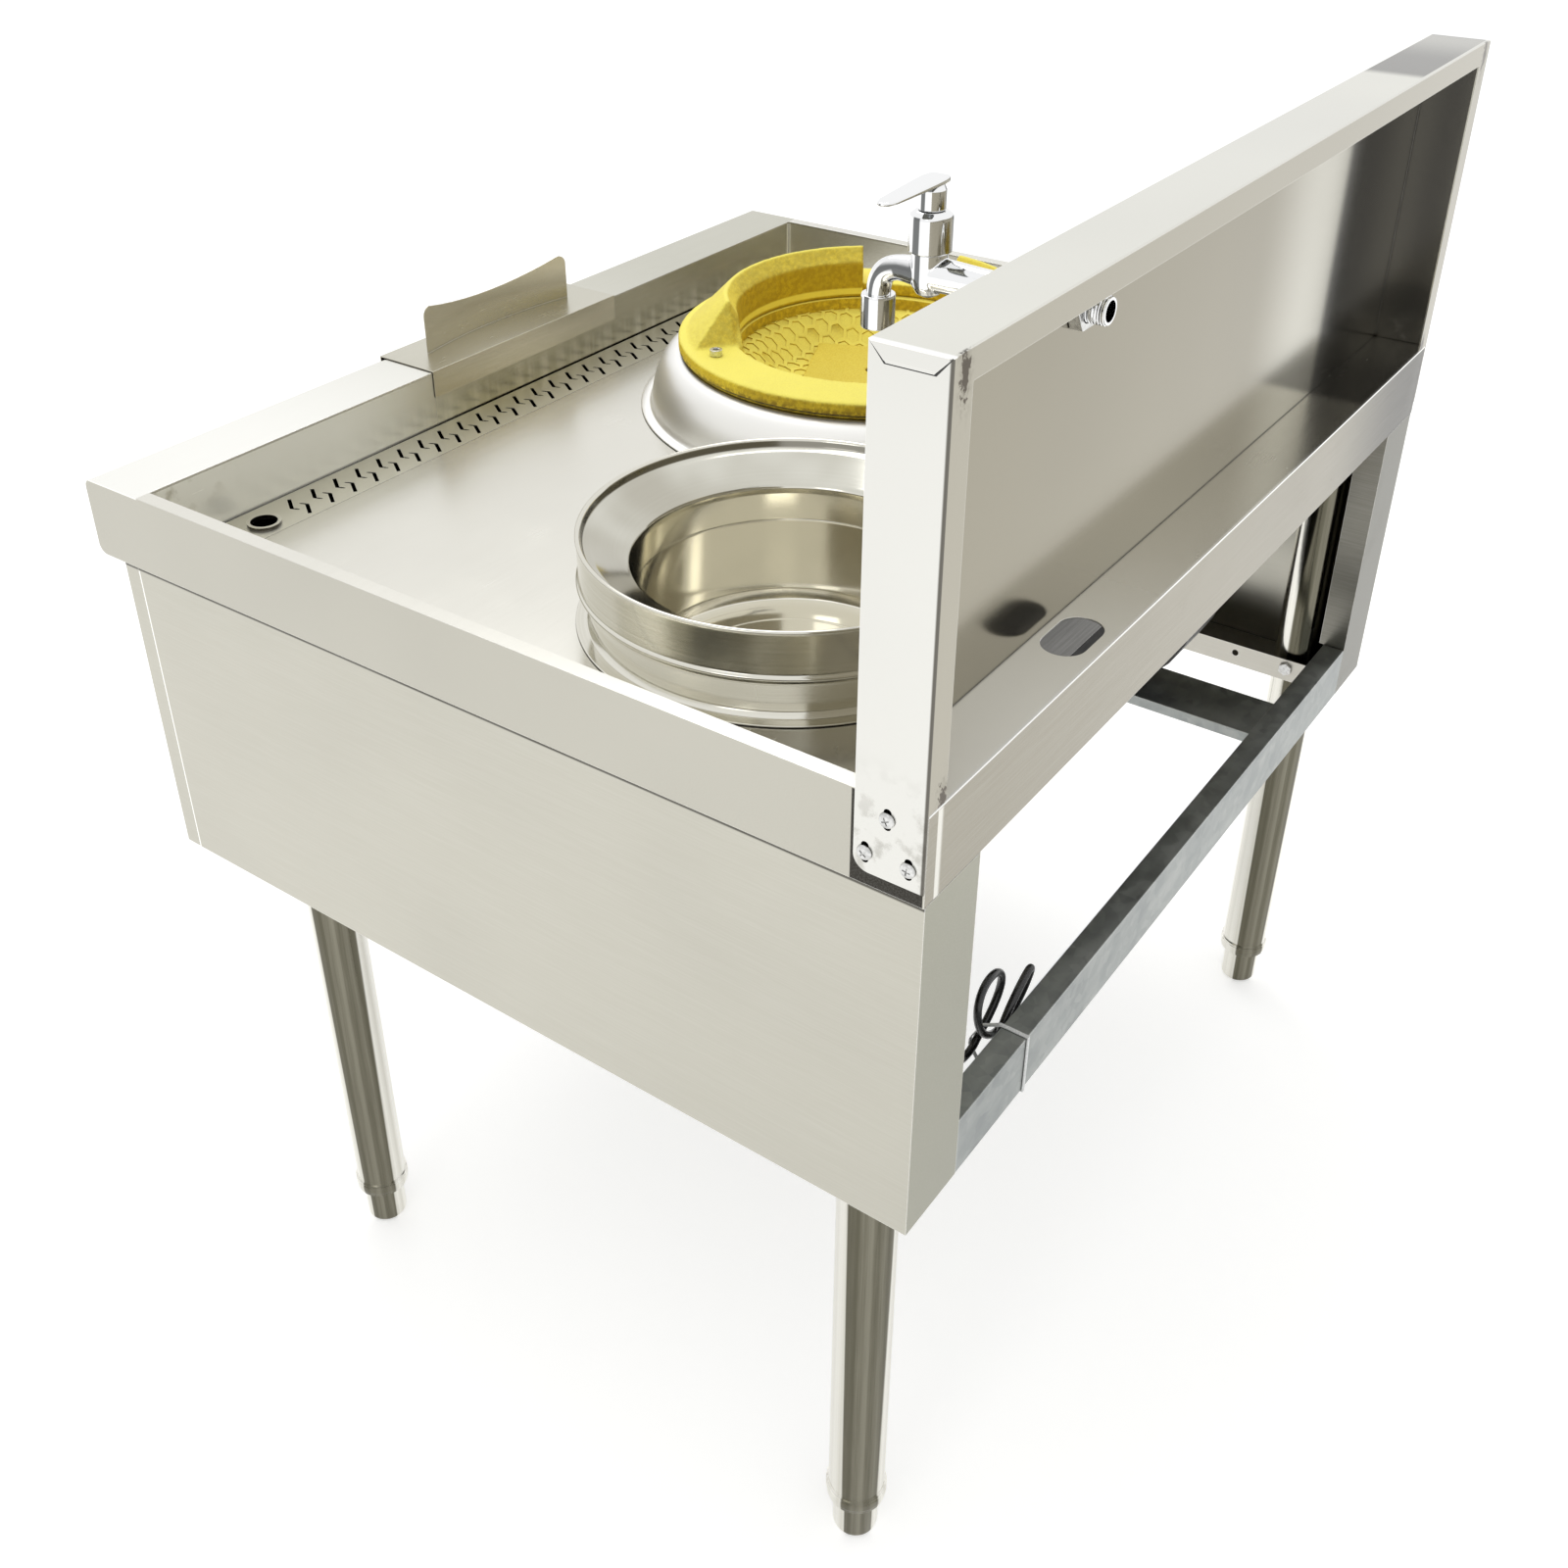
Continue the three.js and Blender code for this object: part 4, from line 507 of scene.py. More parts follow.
def deck_places(graph, tone):
    x, y, z = graph.axes()
    outward = x.size()
    wall, shelf = front_wall(x, y, z), shelf_strip(y, z)
    # A painted reflection on the front wall: rippled and brown towards the left end.
    reflection_ripple = graph.noise(75, 3, (1, 1, 0.10)).ramp(0.40, 0.66)
    lower = z.ramp(tray_top - 20 * mm, pan_level + 14 * mm)
    reflection_rippled = graph.blend(reflection_ripple * 0.35 * lower + 0.08, (0.29, 0.265, 0.18), (0.62, 0.595, 0.49))
    scratched = graph.blend(x.ramp(0.05, 0.28) * 0.9, reflection_rippled, (0.90, 0.89, 0.80))
    walled = graph.blend(wall, tone, scratched)
    stain = graph.noise(60, 3).ramp(0.48, 0.66) * x.ramp(0.38, 0.47) * wall
    stain = stain * z.ramp(pan_level + 14 * mm, tray_top - 12 * mm)
    stained = graph.blend(stain * 0.6, walled, (0.30, 0.26, 0.16))
    # Painted light: the pan's inner side walls are painted pale.
    sides = outward.ramp(pan_half - 8 * mm, pan_half - 4 * mm)
    sides = sides * outward.ramp(pan_half + 0.5 * mm, pan_half - 0.5 * mm) * below_top(z)
    sides_lit = graph.blend(sides * 0.8, stained, (0.88, 0.87, 0.81))
    # Painted reflections on the ledge and the shelf: dark at the left end, pale at the right.
    ledge = y.ramp(pan_front + 1 * mm, pan_front - 1 * mm) * on_top(z)
    ledge_reflection = graph.blend(x.ramp(-0.30, 0.42), (0.55, 0.54, 0.46), (0.94, 0.935, 0.89))
    ledged = graph.blend(ledge, sides_lit, ledge_reflection)
    shelf_reflection = graph.blend(x.ramp(-0.2, 0.45), (0.64, 0.62, 0.54), (1.0, 0.99, 0.93))
    shelved = graph.blend(shelf, ledged, shelf_reflection)
    # A dark painted reflection on the shelf near its left end, and a painted highlight along its rim.
    end_darkened = graph.blend(shelf * painted_dark_end(x) * 0.85, shelved, (0.12, 0.115, 0.10))
    rim_highlighted = graph.blend(along(y, tray_high.y, 2.6 * mm) * shelf, end_darkened, (1.0, 1.0, 0.98))
    # Painted shade on the rear faces towards the left end.
    back = y.ramp(tray_high.y - 2 * mm, tray_high.y - 1 * mm) * below_top(z)
    back_shaded = graph.blend(back * x.ramp(-0.20, -0.45) * 0.97, rim_highlighted, (0.05, 0.045, 0.035))
    # Painted shade in the gutter under the strainer and in the hollow under the shelf.
    gutter = z.ramp(pan_level - 1 * mm, pan_level - 4 * mm) * y.ramp(gutter_rear + 2 * mm, gutter_rear)
    gutter = gutter * y.ramp(tray_low.y + 1 * mm, tray_low.y + 2 * mm)
    gutter = gutter * outward.ramp(tray_high.x - 2.5 * mm, tray_high.x - 3.5 * mm)
    under = y.ramp(under_shelf - 0.7 * mm, under_shelf) * z.ramp(tray_top - 0.7 * mm, tray_top - 1 * mm)
    under = under * y.ramp(tray_high.y - 1.2 * mm, tray_high.y - 1.4 * mm)
    return graph.blend(no_more(gutter + under), back_shaded, (0.035, 0.032, 0.026))


def deck_matte(graph):
    """Where scratches scatter the light: the wall under the ledge and the shelf, near the right end."""
    x, y, z = graph.axes()
    return front_wall(x, y, z) * x.ramp(0.05, 0.28) * 0.75 + shelf_strip(y, z) * x.ramp(0.0, 0.35) * 0.7


# The three tones by facing are painted light and shade; the strip's sides and its slots' walls are painted
# nearly black, as painted shade.
deck_steel = finish("deck_steel", {"Metallic": 1.0}, satin(
    (0.76, 0.745, 0.68), (0.50, 0.485, 0.425), (0.335, 0.31, 0.25), 0.25, along_x, deck_places, deck_matte))
strip_steel = finish("strip_steel", {"Metallic": 1.0}, satin(
    (0.70, 0.685, 0.60), (0.07, 0.065, 0.05), (0.07, 0.065, 0.05), 0.30, along_x))

# %% [markdown]
# ## The backsplash's sheet
# The tall sheet at the back is smoother and mirrors its shelf. Its lower tabs still carry the dull
# film that protected the sheet in the shop, and the welder's torch has browned the corners. Light and
# shade are painted on it too: a painted highlight along its folds and top edge, a painted shadow down
# each end where the return is folded in, a pale painted reflection on the inner sheet towards the left,
# and painted shade near the left end and on the end wall.

# %% The backsplash's finish
splash_low, splash_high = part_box("backsplash")
splash_end = 0.5018
tab_inside, tab_outside = 0.49, 0.50
# How far out each burnt corner lies, how high, and how tall its mark is.
burnt_corners = (
    (0.489, splash_high.z - 11 * mm, 16 * mm),
    (0.484, tray_top + 5 * mm, 12 * mm),
)


def torch_burns(graph, x, z):
    """Brown marks with ragged edges where the corners were welded."""
    smoke = graph.noise(210, 5, (1, 1, 0.7), 0.7)
    burns = 0
    for spot_x, spot_z, tall in burnt_corners:
        across, up = x.size() - spot_x, (z - spot_z) * (5 * mm / tall)
        near = (across * across + up * up).math("SQRT")
        core = (near + (smoke - 0.5) * 22 * mm).ramp(5.5 * mm, 3.5 * mm)
        halo = near.ramp(14 * mm, 3 * mm) * smoke.ramp(0.45, 0.75) * 0.5
        burns = core + halo + burns
    return burns


def splash_surface(graph):
    slow = graph.noise(3.0, 2)
    fine = graph.noise(900, 2, along_x)
    blotch = graph.noise(38, 4, (1, 1, 1), 0.6)
    x, y, z = graph.axes()
    outward = x.size()
    film = blotch.ramp(0.5, 0.62) * outward.ramp(tab_inside, tab_outside)
    film = film * z.ramp(splash_low.z + 105 * mm, splash_low.z + 20 * mm)
    # The faces' tones are painted light and shade by the way each face looks.
    tone = painted_light_by_facing(graph, (0.78, 0.775, 0.71), (0.73, 0.725, 0.69), (0.325, 0.30, 0.235))
    returned = y.ramp(splash_high.y - 3 * mm, splash_high.y - 1 * mm)
    inner = y.ramp(splash_low.y + 0.5 * mm, splash_low.y + 1.1 * mm)
    inner = inner * y.ramp(splash_high.y - 3 * mm, splash_high.y - 4 * mm)
    # A pale painted reflection on the inner sheet towards the left, and painted shade near the left end and
    # on the end wall.
    sheeted = graph.blend(inner * x.ramp(-0.10, -0.24) * 0.5, tone, (0.80, 0.79, 0.71))
    leftward = x * -1
    end_wall = leftward.ramp(splash_end - 6.3 * mm, splash_end - 5.3 * mm) * inner
    end_wall = end_wall * leftward.ramp(splash_end - 0.8 * mm, splash_end - 1.8 * mm)
    end_darkness = no_more(inner * painted_dark_end(x) * 0.9 + end_wall, 0.92)
    end_darkened = graph.blend(end_darkness, sheeted, (0.10, 0.095, 0.085))
    clean = graph.blend(slow.ramp(0.3, 0.7) * 0.10, end_darkened, (0.10, 0.09, 0.08))
    lined = graph.blend(returned * 0.3, clean, (0.60, 0.58, 0.51))
    filmed = graph.blend(film * 0.7, lined, (0.50, 0.49, 0.45))
    # A painted shadow down each end seam and a painted highlight along the top edge.
    end_shadow = along(y, splash_high.y, 3.0 * mm)
    end_shadow = end_shadow * outward.ramp(splash_end - 1.2 * mm, splash_end - 0.4 * mm)
    top_edge_highlight = along(outward, splash_end, 4.5 * mm)
    top_edge_highlight = top_edge_highlight * z.ramp(splash_high.z - 1.2 * mm, splash_high.z - 0.4 * mm)
    edge_highlighted = graph.blend(top_edge_highlight, edge_highlight_joint_shade(graph, filmed, shine=0.5), (1.0, 1.0, 0.98))
    shadow_lined = graph.blend(end_shadow * (1 - top_edge_highlight) * 0.85, edge_highlighted, painted_shade_colour)
    burns = no_more(torch_burns(graph, x, z) * returned)
    return {
        "Base Color": graph.blend(burns * 0.9, shadow_lined, (0.05, 0.035, 0.02)),
        "Roughness": 0.16 + (fine - 0.5) * 0.04 + film * 0.25,
        "height": (fine, 0.003 * mm),
    }


splash_steel = finish("splash_steel", {"Metallic": 1.0}, splash_surface)

# %% [markdown]
# ## Turned and plated finishes
# The water pot is spun on a lathe, so its polish runs in rings. The legs are drawn tube, whose
# streaks run from end to end, and a dark painted reflection runs down one side of each leg. Both
# patterns follow the distance from an axis or the turn about it.
# Chrome has hardly a colour of its own, so dark bands, laid by the way that a face looks, stand in
# for the dark things that it mirrors. Zinc shows the cells in which it set.

# %% Turned and plated finishes
pot_low, pot_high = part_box("tail_pot")
pot_axis = ((pot_low.x + pot_high.x) / 2, (pot_low.y + pot_high.y) / 2, 0)
bowl_radius, funnel_radius = 128.5 * mm, 166.5 * mm
lathe_lines = 420
dark_reflection_side = math.radians(40)


def spun_surface(graph):
    x, y, z = graph.axes(pot_axis)
    out = (x * x + y * y).math("SQRT")
    rings = graph.vector(out * lathe_lines, z * lathe_lines)
    lines = graph.add("ShaderNodeTexNoise", {}, {"Vector": rings, "Scale": 1.0, "Detail": 3.0})
    slow = graph.noise(9, 2)
    height = pot_high.z - graph.axes()[2]
    outer = graph.blend(lines.ramp(0.25, 0.8), (0.68, 0.66, 0.58), (0.75, 0.735, 0.665))
    within = out.ramp(funnel_radius + 1.5 * mm, funnel_radius) * out.ramp(bowl_radius - 2 * mm, bowl_radius)
    funnel = within * height.ramp(6 * mm, 8 * mm) * height.ramp(29 * mm, 27 * mm)
    streaky = graph.blend(slow.ramp(0.35, 0.65), (0.46, 0.44, 0.37), (0.66, 0.65, 0.58))
    sloped = graph.blend(funnel * 0.85, outer, streaky)
    lip = out.ramp(funnel_radius - 1 * mm, funnel_radius + 0.5 * mm)
    lip = lip * out.ramp(funnel_radius + 3.5 * mm, funnel_radius + 3 * mm)
    lip = lip * height.ramp(1.5 * mm, 2.5 * mm) * height.ramp(11 * mm, 9 * mm)
    lipped = graph.blend(lip * 0.75, sloped, (0.14, 0.13, 0.10))
    bowl = out.ramp(bowl_radius + 0.7 * mm, bowl_radius + 0.3 * mm) * height.ramp(26 * mm, 28 * mm)
    bowled = graph.blend(bowl * 0.85, lipped, (0.79, 0.765, 0.675))
    return {
        "Base Color": edge_highlight_joint_shade(graph, bowled, shade_strength=0.9),
        "Roughness": 0.09 + lines * 0.06 + slow.ramp(0.5, 0.8) * 0.06,
        "height": (lines, 0.003 * mm),
    }


def tube_surface(graph):
    turn = graph.split(graph.add("ShaderNodeUVMap", {"uv_map": "turn"}))[0]
    angle = turn * (2 * math.pi)
    _, _, z = graph.axes()
    ring = graph.vector(angle.math("COSINE") * 1.5, angle.math("SINE") * 1.5)
    streak = graph.add("ShaderNodeTexNoise", {}, {"Vector": ring, "Scale": 1.6, "Detail": 3.0})
    fine = graph.noise(900, 2, along_z)
    # A dark painted reflection runs down one side of each leg.
    reflection_band = ((angle - dark_reflection_side) * 2).math("COSINE") + (streak - 0.5) * 0.6 + z * 0.9
    tone = graph.blend((streak - fine * 0.2).ramp(0.25, 0.6), (0.085, 0.078, 0.05), (0.20, 0.188, 0.14))
    brushed = graph.blend(streak.ramp(0.35, 0.65), (0.66, 0.645, 0.58), (0.90, 0.89, 0.84))
    reflection_banded = graph.blend(reflection_band.ramp(0.16, 0.32) * 0.95, brushed, tone)
    return {
        "Base Color": reflection_banded,
        "Roughness": 0.17 + (fine - 0.5) * 0.08,
        "height": (fine, 0.01 * mm),
    }


def chrome_surface(graph):
    rightward, rearward, upward = graph.split(graph.add("ShaderNodeTexCoord", out="Normal"))
    bearing = rearward.math("ARCTAN2", rightward)
    stripes = (bearing * 3 + 0.6).math("COSINE").ramp(0.78, 0.90) * upward.size().ramp(0.75, 0.35)
    dark = no_more(stripes + upward.ramp(-0.55, -0.75))
    return {
        "Base Color": graph.blend(dark * 0.88, (0.90, 0.905, 0.91), (0.06, 0.065, 0.065)),
        "Roughness": 0.05 + graph.noise(60, 3).ramp(0.5, 0.8) * 0.04,
    }


def galvanised_surface(graph):
    place = graph.add("ShaderNodeTexCoord", out="Object")
    cells = graph.add("ShaderNodeTexVoronoi", {}, {"Vector": place, "Scale": 95.0}, out="Color")
    tone = graph.split(cells)[0]
    cloud = graph.noise(14, 4, (1, 1, 1), 0.6)
    wiped = graph.noise(60, 3, (0.25, 1, 1))
    shade = tone * 0.35 + cloud.ramp(0.3, 0.7) * 0.4 + wiped.ramp(0.4, 0.7) * 0.25
    spangled = graph.blend(shade, (0.24, 0.26, 0.26), (0.47, 0.485, 0.47))
    return {
        "Base Color": edge_highlight_joint_shade(graph, spangled, edge=1.6 * mm, reach=4 * mm, shine=0.9),
        "Roughness": 0.34 + shade * 0.16,
        "height": (cloud + tone * 0.2, 0.06 * mm),
    }


def plated_surface(graph):
    cloud = graph.noise(300, 3)
    return {
        "Base Color": graph.blend(cloud.ramp(0.3, 0.7), (0.55, 0.55, 0.54), (0.75, 0.75, 0.74)),
        "Roughness": 0.20 + cloud * 0.15,
    }


pot_steel = finish("pot_steel", {"Metallic": 1.0}, spun_surface)
leg_steel = finish("leg_steel", {"Metallic": 1.0}, tube_surface)
chrome = finish("chrome", {"Metallic": 1.0}, chrome_surface)
galvanised = finish("galvanised", {"Metallic": 1.0}, galvanised_surface)
zinc_plate = finish("zinc_plate", {"Metallic": 1.0}, plated_surface)

# %% [markdown]
# ## Painted castings
# The fire ring, the chamber and the burner block are sand castings under thick yellow paint. The
# sand leaves a grain of one to two millimetres, and the paint is scorched near the flame's edge.
# Painted light makes the upper faces lighter, and painted shade darkens the hollows and the steep
# faces that look away from the light.

# %% Painted castings and dark metal
ring_low, ring_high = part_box("wok_ring")
ring_axis = ((ring_low.x + ring_high.x) / 2, (ring_low.y + ring_high.y) / 2, 0)
ring_radius = (ring_high.x - ring_low.x) / 2
ring_bore = 141 * mm
block_top, block_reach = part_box("burner_block")[1].z, 100 * mm


def casting_surface(graph):
    grain = graph.noise(620, 4, (1, 1, 1), 0.7)
    lumps = graph.noise(190, 2)
    cloud = graph.noise(22, 3)
    x, y, z = graph.axes(ring_axis)
    out = (x * x + y * y).math("SQRT")
    rightward, rearward, upward = graph.split(graph.add("ShaderNodeNewGeometry", out="Normal"))
    specks = grain.ramp(0.38, 0.62)
    paint = graph.blend(cloud.ramp(0.3, 0.7) * 0.5 + specks * 0.5, (0.60, 0.40, 0.010), (1.0, 0.78, 0.045))
    # Painted shade on steep faces that look away from the light, and painted light on upper faces.
    away_from_light = (rightward * 0.57 + rearward * 0.82).ramp(0.25, 0.65) * upward.ramp(0.85, 0.55)
    shady = graph.blend(away_from_light * (lumps.ramp(0.35, 0.65) * 0.45 + 0.4), paint, (0.40, 0.26, 0.010))
    lit = graph.blend(upward.ramp(0.1, 0.95) * (specks * 0.15 + 0.8), shady, (1.0, 0.90, 0.17))
    topped = along(z, block_top, 2.5 * mm) * out.ramp(block_reach, block_reach - 3 * mm)
    plated = graph.blend(topped * (specks * 0.35 + 0.35), lit, (0.62, 0.42, 0.010))
    inside = out.ramp(ring_bore + 2.5 * mm, ring_bore + 0.5 * mm) * upward.ramp(0.6, 0.3)
    inside = inside * z.ramp(ring_low.z - 2 * mm, ring_low.z)
    rib = inside * along(z, ring_low.z + 7 * mm, 4.5 * mm)
    browned = graph.blend(inside * cloud.ramp(0.25, 0.6) * 0.6, plated, (0.42, 0.28, 0.012))
    shaded = graph.blend(rib * 0.8, browned, (1.0, 0.86, 0.13))
    # Painted shade in the hollows.
    hidden = graph.add("ShaderNodeAmbientOcclusion", {"samples": 8}, {"Distance": 9 * mm}, out="AO")
    hollow_shaded = graph.blend(hidden.ramp(0.80, 0.40) * 0.45, shaded, (0.46, 0.30, 0.008))
    rim = out.ramp(ring_radius - 4 * mm, ring_radius - 2 * mm)
    gasket = along(z, ring_low.z, 2.2 * mm) * rim
    scorched = along(z, ring_low.z, 7 * mm) * rim * lumps.ramp(0.4, 0.6)
    edged = graph.blend(scorched * 0.6, hollow_shaded, (0.20, 0.12, 0.01))
    return {
        "Base Color": graph.blend(gasket, edged, (0.015, 0.012, 0.008)),
        "Roughness": 0.50 + grain * 0.2,
        "height": (grain + lumps * 0.4, 0.6 * mm),
    }


def dark_surface(graph):
    cloud = graph.noise(45, 4)
    return {
        "Base Color": graph.blend(cloud.ramp(0.35, 0.75), (0.014, 0.014, 0.015), (0.05, 0.048, 0.045)),
        "Roughness": 0.35 + cloud * 0.2,
        "height": (cloud, 0.1 * mm),
    }


yellow_casting = finish("yellow_casting", {"Specular IOR Level": 0.3}, casting_surface)
black_paint = finish("black_paint", {}, dark_surface)

# %% [markdown]
# ## Plastics, rubber and brass
# Small parts still have a surface: moulded plastic has a fine texture, the lead's sheath is glossy
# with a faint orange peel, nylon is milky, and brass is duller where hands have touched it.

# %% Plastics, rubber and brass


def moulded(low, high, rough, scale, depth):
    """A fine grain between two colours, in cells per metre, whose bumps have a depth."""

    def surface(graph):
        grain = graph.noise(scale, 2)
        return {
            "Base Color": graph.blend(grain.ramp(0.3, 0.7), low, high),
            "Roughness": rough + grain * 0.12,
            "height": (grain, depth),
        }

    return surface


black_plastic = finish("black_plastic", {}, moulded(
    (0.012, 0.012, 0.013), (0.024, 0.024, 0.026), 0.40, 1400, 0.04 * mm))
red_plastic = finish("red_plastic", {"Coat Weight": 0.3}, moulded(
    (0.42, 0.02, 0.015), (0.56, 0.035, 0.025), 0.28, 700, 0.02 * mm))
cord_sheath = finish("cord_sheath", {"Coat Weight": 0.25}, moulded(
    (0.006, 0.006, 0.006), (0.016, 0.016, 0.016), 0.22, 900, 0.03 * mm))
white_nylon = finish("white_nylon", {}, moulded(
    (0.70, 0.71, 0.70), (0.84, 0.85, 0.84), 0.30, 600, 0.02 * mm))
brass = finish("brass", {"Metallic": 1.0}, moulded(
    (0.46, 0.33, 0.13), (0.66, 0.50, 0.21), 0.25, 120, 0.03 * mm))
print(f"{len(bpy.data.materials)} finishes")

# %% [markdown]
# ## Sheet metal with real edges
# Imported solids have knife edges, and a knife edge never catches the light. A folded sheet has a
# small round at each edge, which shows as a thin bright line. So each sheet-metal solid is copied,
# its flat triangles are merged back into whole faces, and every sharp edge gets a small bevel.

# %% Softened copies of solids


def keep(name, mesh, material=None):
    """Puts a mesh in the scene as a piece with one finish."""
    made = bpy.data.objects.new(name, mesh)
    bpy.context.scene.collection.objects.link(made)
    if material:
        mesh.materials.clear()
        mesh.materials.append(material)
    return made


def closed_mesh(name, shape, turn_out=True):
    """Ends a bmesh: its faces are turned outwards and it becomes a mesh."""
    if turn_out:
        bmesh.ops.recalc_face_normals(shape, faces=shape.faces)
    mesh = bpy.data.meshes.new(name)
    shape.to_mesh(mesh)
    shape.free()
    return mesh


def raised(shape, outline, move):
    """Closes an outline with a face, and pulls a copy of that face away to make a solid."""
    face = shape.faces.new([shape.verts.new(point) for point in outline])
    for part in bmesh.ops.extrude_face_region(shape, geom=[face])["geom"]:
        if isinstance(part, bmesh.types.BMVert):
            part.co = move(part.co)


def applied(piece, smooth_angle=40):
    """Turns a piece's modifiers into its mesh, and shades it smooth up to an angle."""
    bpy.context.view_layer.update()
    mesh = bpy.data.meshes.new_from_object(piece.evaluated_get(bpy.context.evaluated_depsgraph_get()))
    piece.modifiers.clear()
    piece.data = mesh
    if smooth_angle:
        mesh.polygons.foreach_set("use_smooth", [True] * len(mesh.polygons))
        mesh.set_sharp_from_angle(angle=math.radians(smooth_angle))
    return piece


merge_distance = 0.002 * mm
flat_within = math.radians(0.4)


def whole_faces(source):
    """A copy of a mesh with shared corners, whose coplanar triangles are merged into whole faces."""
    mesh = source.copy()
    shape = bmesh.new()
    shape.from_mesh(mesh)
    bmesh.ops.remove_doubles(shape, verts=shape.verts, dist=merge_distance)
    bmesh.ops.dissolve_limit(shape, angle_limit=flat_within, verts=shape.verts, edges=shape.edges)
    shape.to_mesh(mesh)
    shape.free()
    return mesh


def bevelled(piece, width, segments=2):
    """Rounds the sharp edges, and lets the largest faces set the shading so that they look flat."""
    piece.data.polygons.foreach_set("use_smooth", [True] * len(piece.data.polygons))
    edge = piece.modifiers.new("edge", "BEVEL")
    edge.width, edge.segments = width, segments
    edge.limit_method, edge.angle_limit = "ANGLE", math.radians(30)
    piece.modifiers.new("flatness", "WEIGHTED_NORMAL").keep_sharp = True
    return applied(piece, None)


def body_of(node):
    return nodes[node]["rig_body"]


def soften(node, material, slot, width=0.5 * mm, segments=2):
    """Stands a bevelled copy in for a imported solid."""
    piece = keep(node + "_dressed", whole_faces(nodes[node].data), material)
    bevelled(piece, width, segments)
    stand_in(piece, slot, node)
    return piece


def stand_in(piece, slot, *for_nodes):
    """The piece rides with the solids that it stands for and hides them."""
    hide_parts(*for_nodes)
    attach(piece, body_of(for_nodes[0]))
    return piece


sheet_pieces = {
    "deck_tray": deck_steel,
    "splash_guard": guard_steel,
    "backsplash": splash_steel,
    "side_panel_left": panel_steel,
    "side_panel_right": panel_steel,
    "front_panel": panel_steel,
    "side_rail_left": rail_steel,
    "side_rail_right": rail_steel,
}
for node, material in sheet_pieces.items():
    soften(node, material, "satin_stainless")
for node in ("rear_rail", "front_rail", "cross_beam", "air_duct"):
    soften(node, galvanised, "galvanised_steel", 0.7 * mm)
for node in ("burner_drum", "blower_housing", "blower_motor"):
    soften(node, black_paint, "black_painted_steel")
for node in ("fan_control_box", "wiring_box"):
    soften(node, black_plastic, "black_plastic", 1.5 * mm, 3)
soften("fan_switch_rocker", red_plastic, "red_plastic", 0.6 * mm, 3)
soften("power_plug", cord_sheath, "black_rubber", 1.2 * mm, 3)
soften("gas_manifold", brass, "gas_brass", 0.6 * mm)
soften("blower_impeller", galvanised, "galvanised_steel", 0.3 * mm, 1)
soften("cable_tie", white_nylon, "white_nylon", 0.3 * mm)

# %% [markdown]
# ## The tabs at the backsplash's ends
# The top of the backsplash is closed by a tab that is folded down over each end and spot welded.
# It is one thin plate with slanted sides, and a shadow gap shows round it. A slightly larger dark
# plate under it is a painted shadow that stands for that gap.

# %% The end tabs


def end_plate(name, side, spread, out, thickness, material):
    """A thin plate on an end of the backsplash, which narrows downwards."""
    top, depth, inset = splash_high.z - 0.8 * mm, 11 * mm + spread, 11 * mm - spread
    front, rear = splash_low.y + 0.8 * mm - spread / 2, splash_high.y - 0.8 * mm + spread / 2
    outline = [(front, top), (front + inset, top - depth), (rear - inset, top - depth), (rear, top)]
    shape = bmesh.new()
    raised(shape, [(side * (splash_end + out), y, z) for y, z in outline],
           lambda point: point + Vector((side * thickness, 0, 0)))
    piece = keep(name, closed_mesh(name, shape), material)
    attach(piece, "range")
    return piece


for side, word in ((-1, "left"), (1, "right")):
    # The dark plate is a painted shadow of the gap round the tab.
    end_plate("tab_shadow_" + word, side, 0.9 * mm, 0.02 * mm, 0.12 * mm, black_paint)
    end_plate("end_tab_" + word, side, 0.0, 0.1 * mm, 0.4 * mm, splash_steel)
print("two end tabs")

# %% [markdown]
# ## Turned pieces
# Legs, feet, the bell dome, the water pot and its collar are all one profile turned about an axis.
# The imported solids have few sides; a finer turning gives the smooth glints of the real metal.
# A corner of the profile is rounded before it is turned, and a UV map keeps the turn and the run
# along the profile, which the finishes use.

# %% Turning a profile


def rounded(profile, radius, steps=3):
    """The same run of points with each inner corner cut by a small curve."""
    made = [Vector(profile[0])]
    for before, corner, after in zip(profile, profile[1:], profile[2:]):
        before, corner, after = Vector(before), Vector(corner), Vector(after)
        a, b = before - corner, after - corner
        a_end = corner + a.normalized() * min(radius, a.length * 0.45)
        b_end = corner + b.normalized() * min(radius, b.length * 0.45)
        for i in range(steps + 1):
            t = i / steps
            made.append((1 - t) ** 2 * a_end + 2 * t * (1 - t) * corner + t * t * b_end)
    return [*made, Vector(profile[-1])]


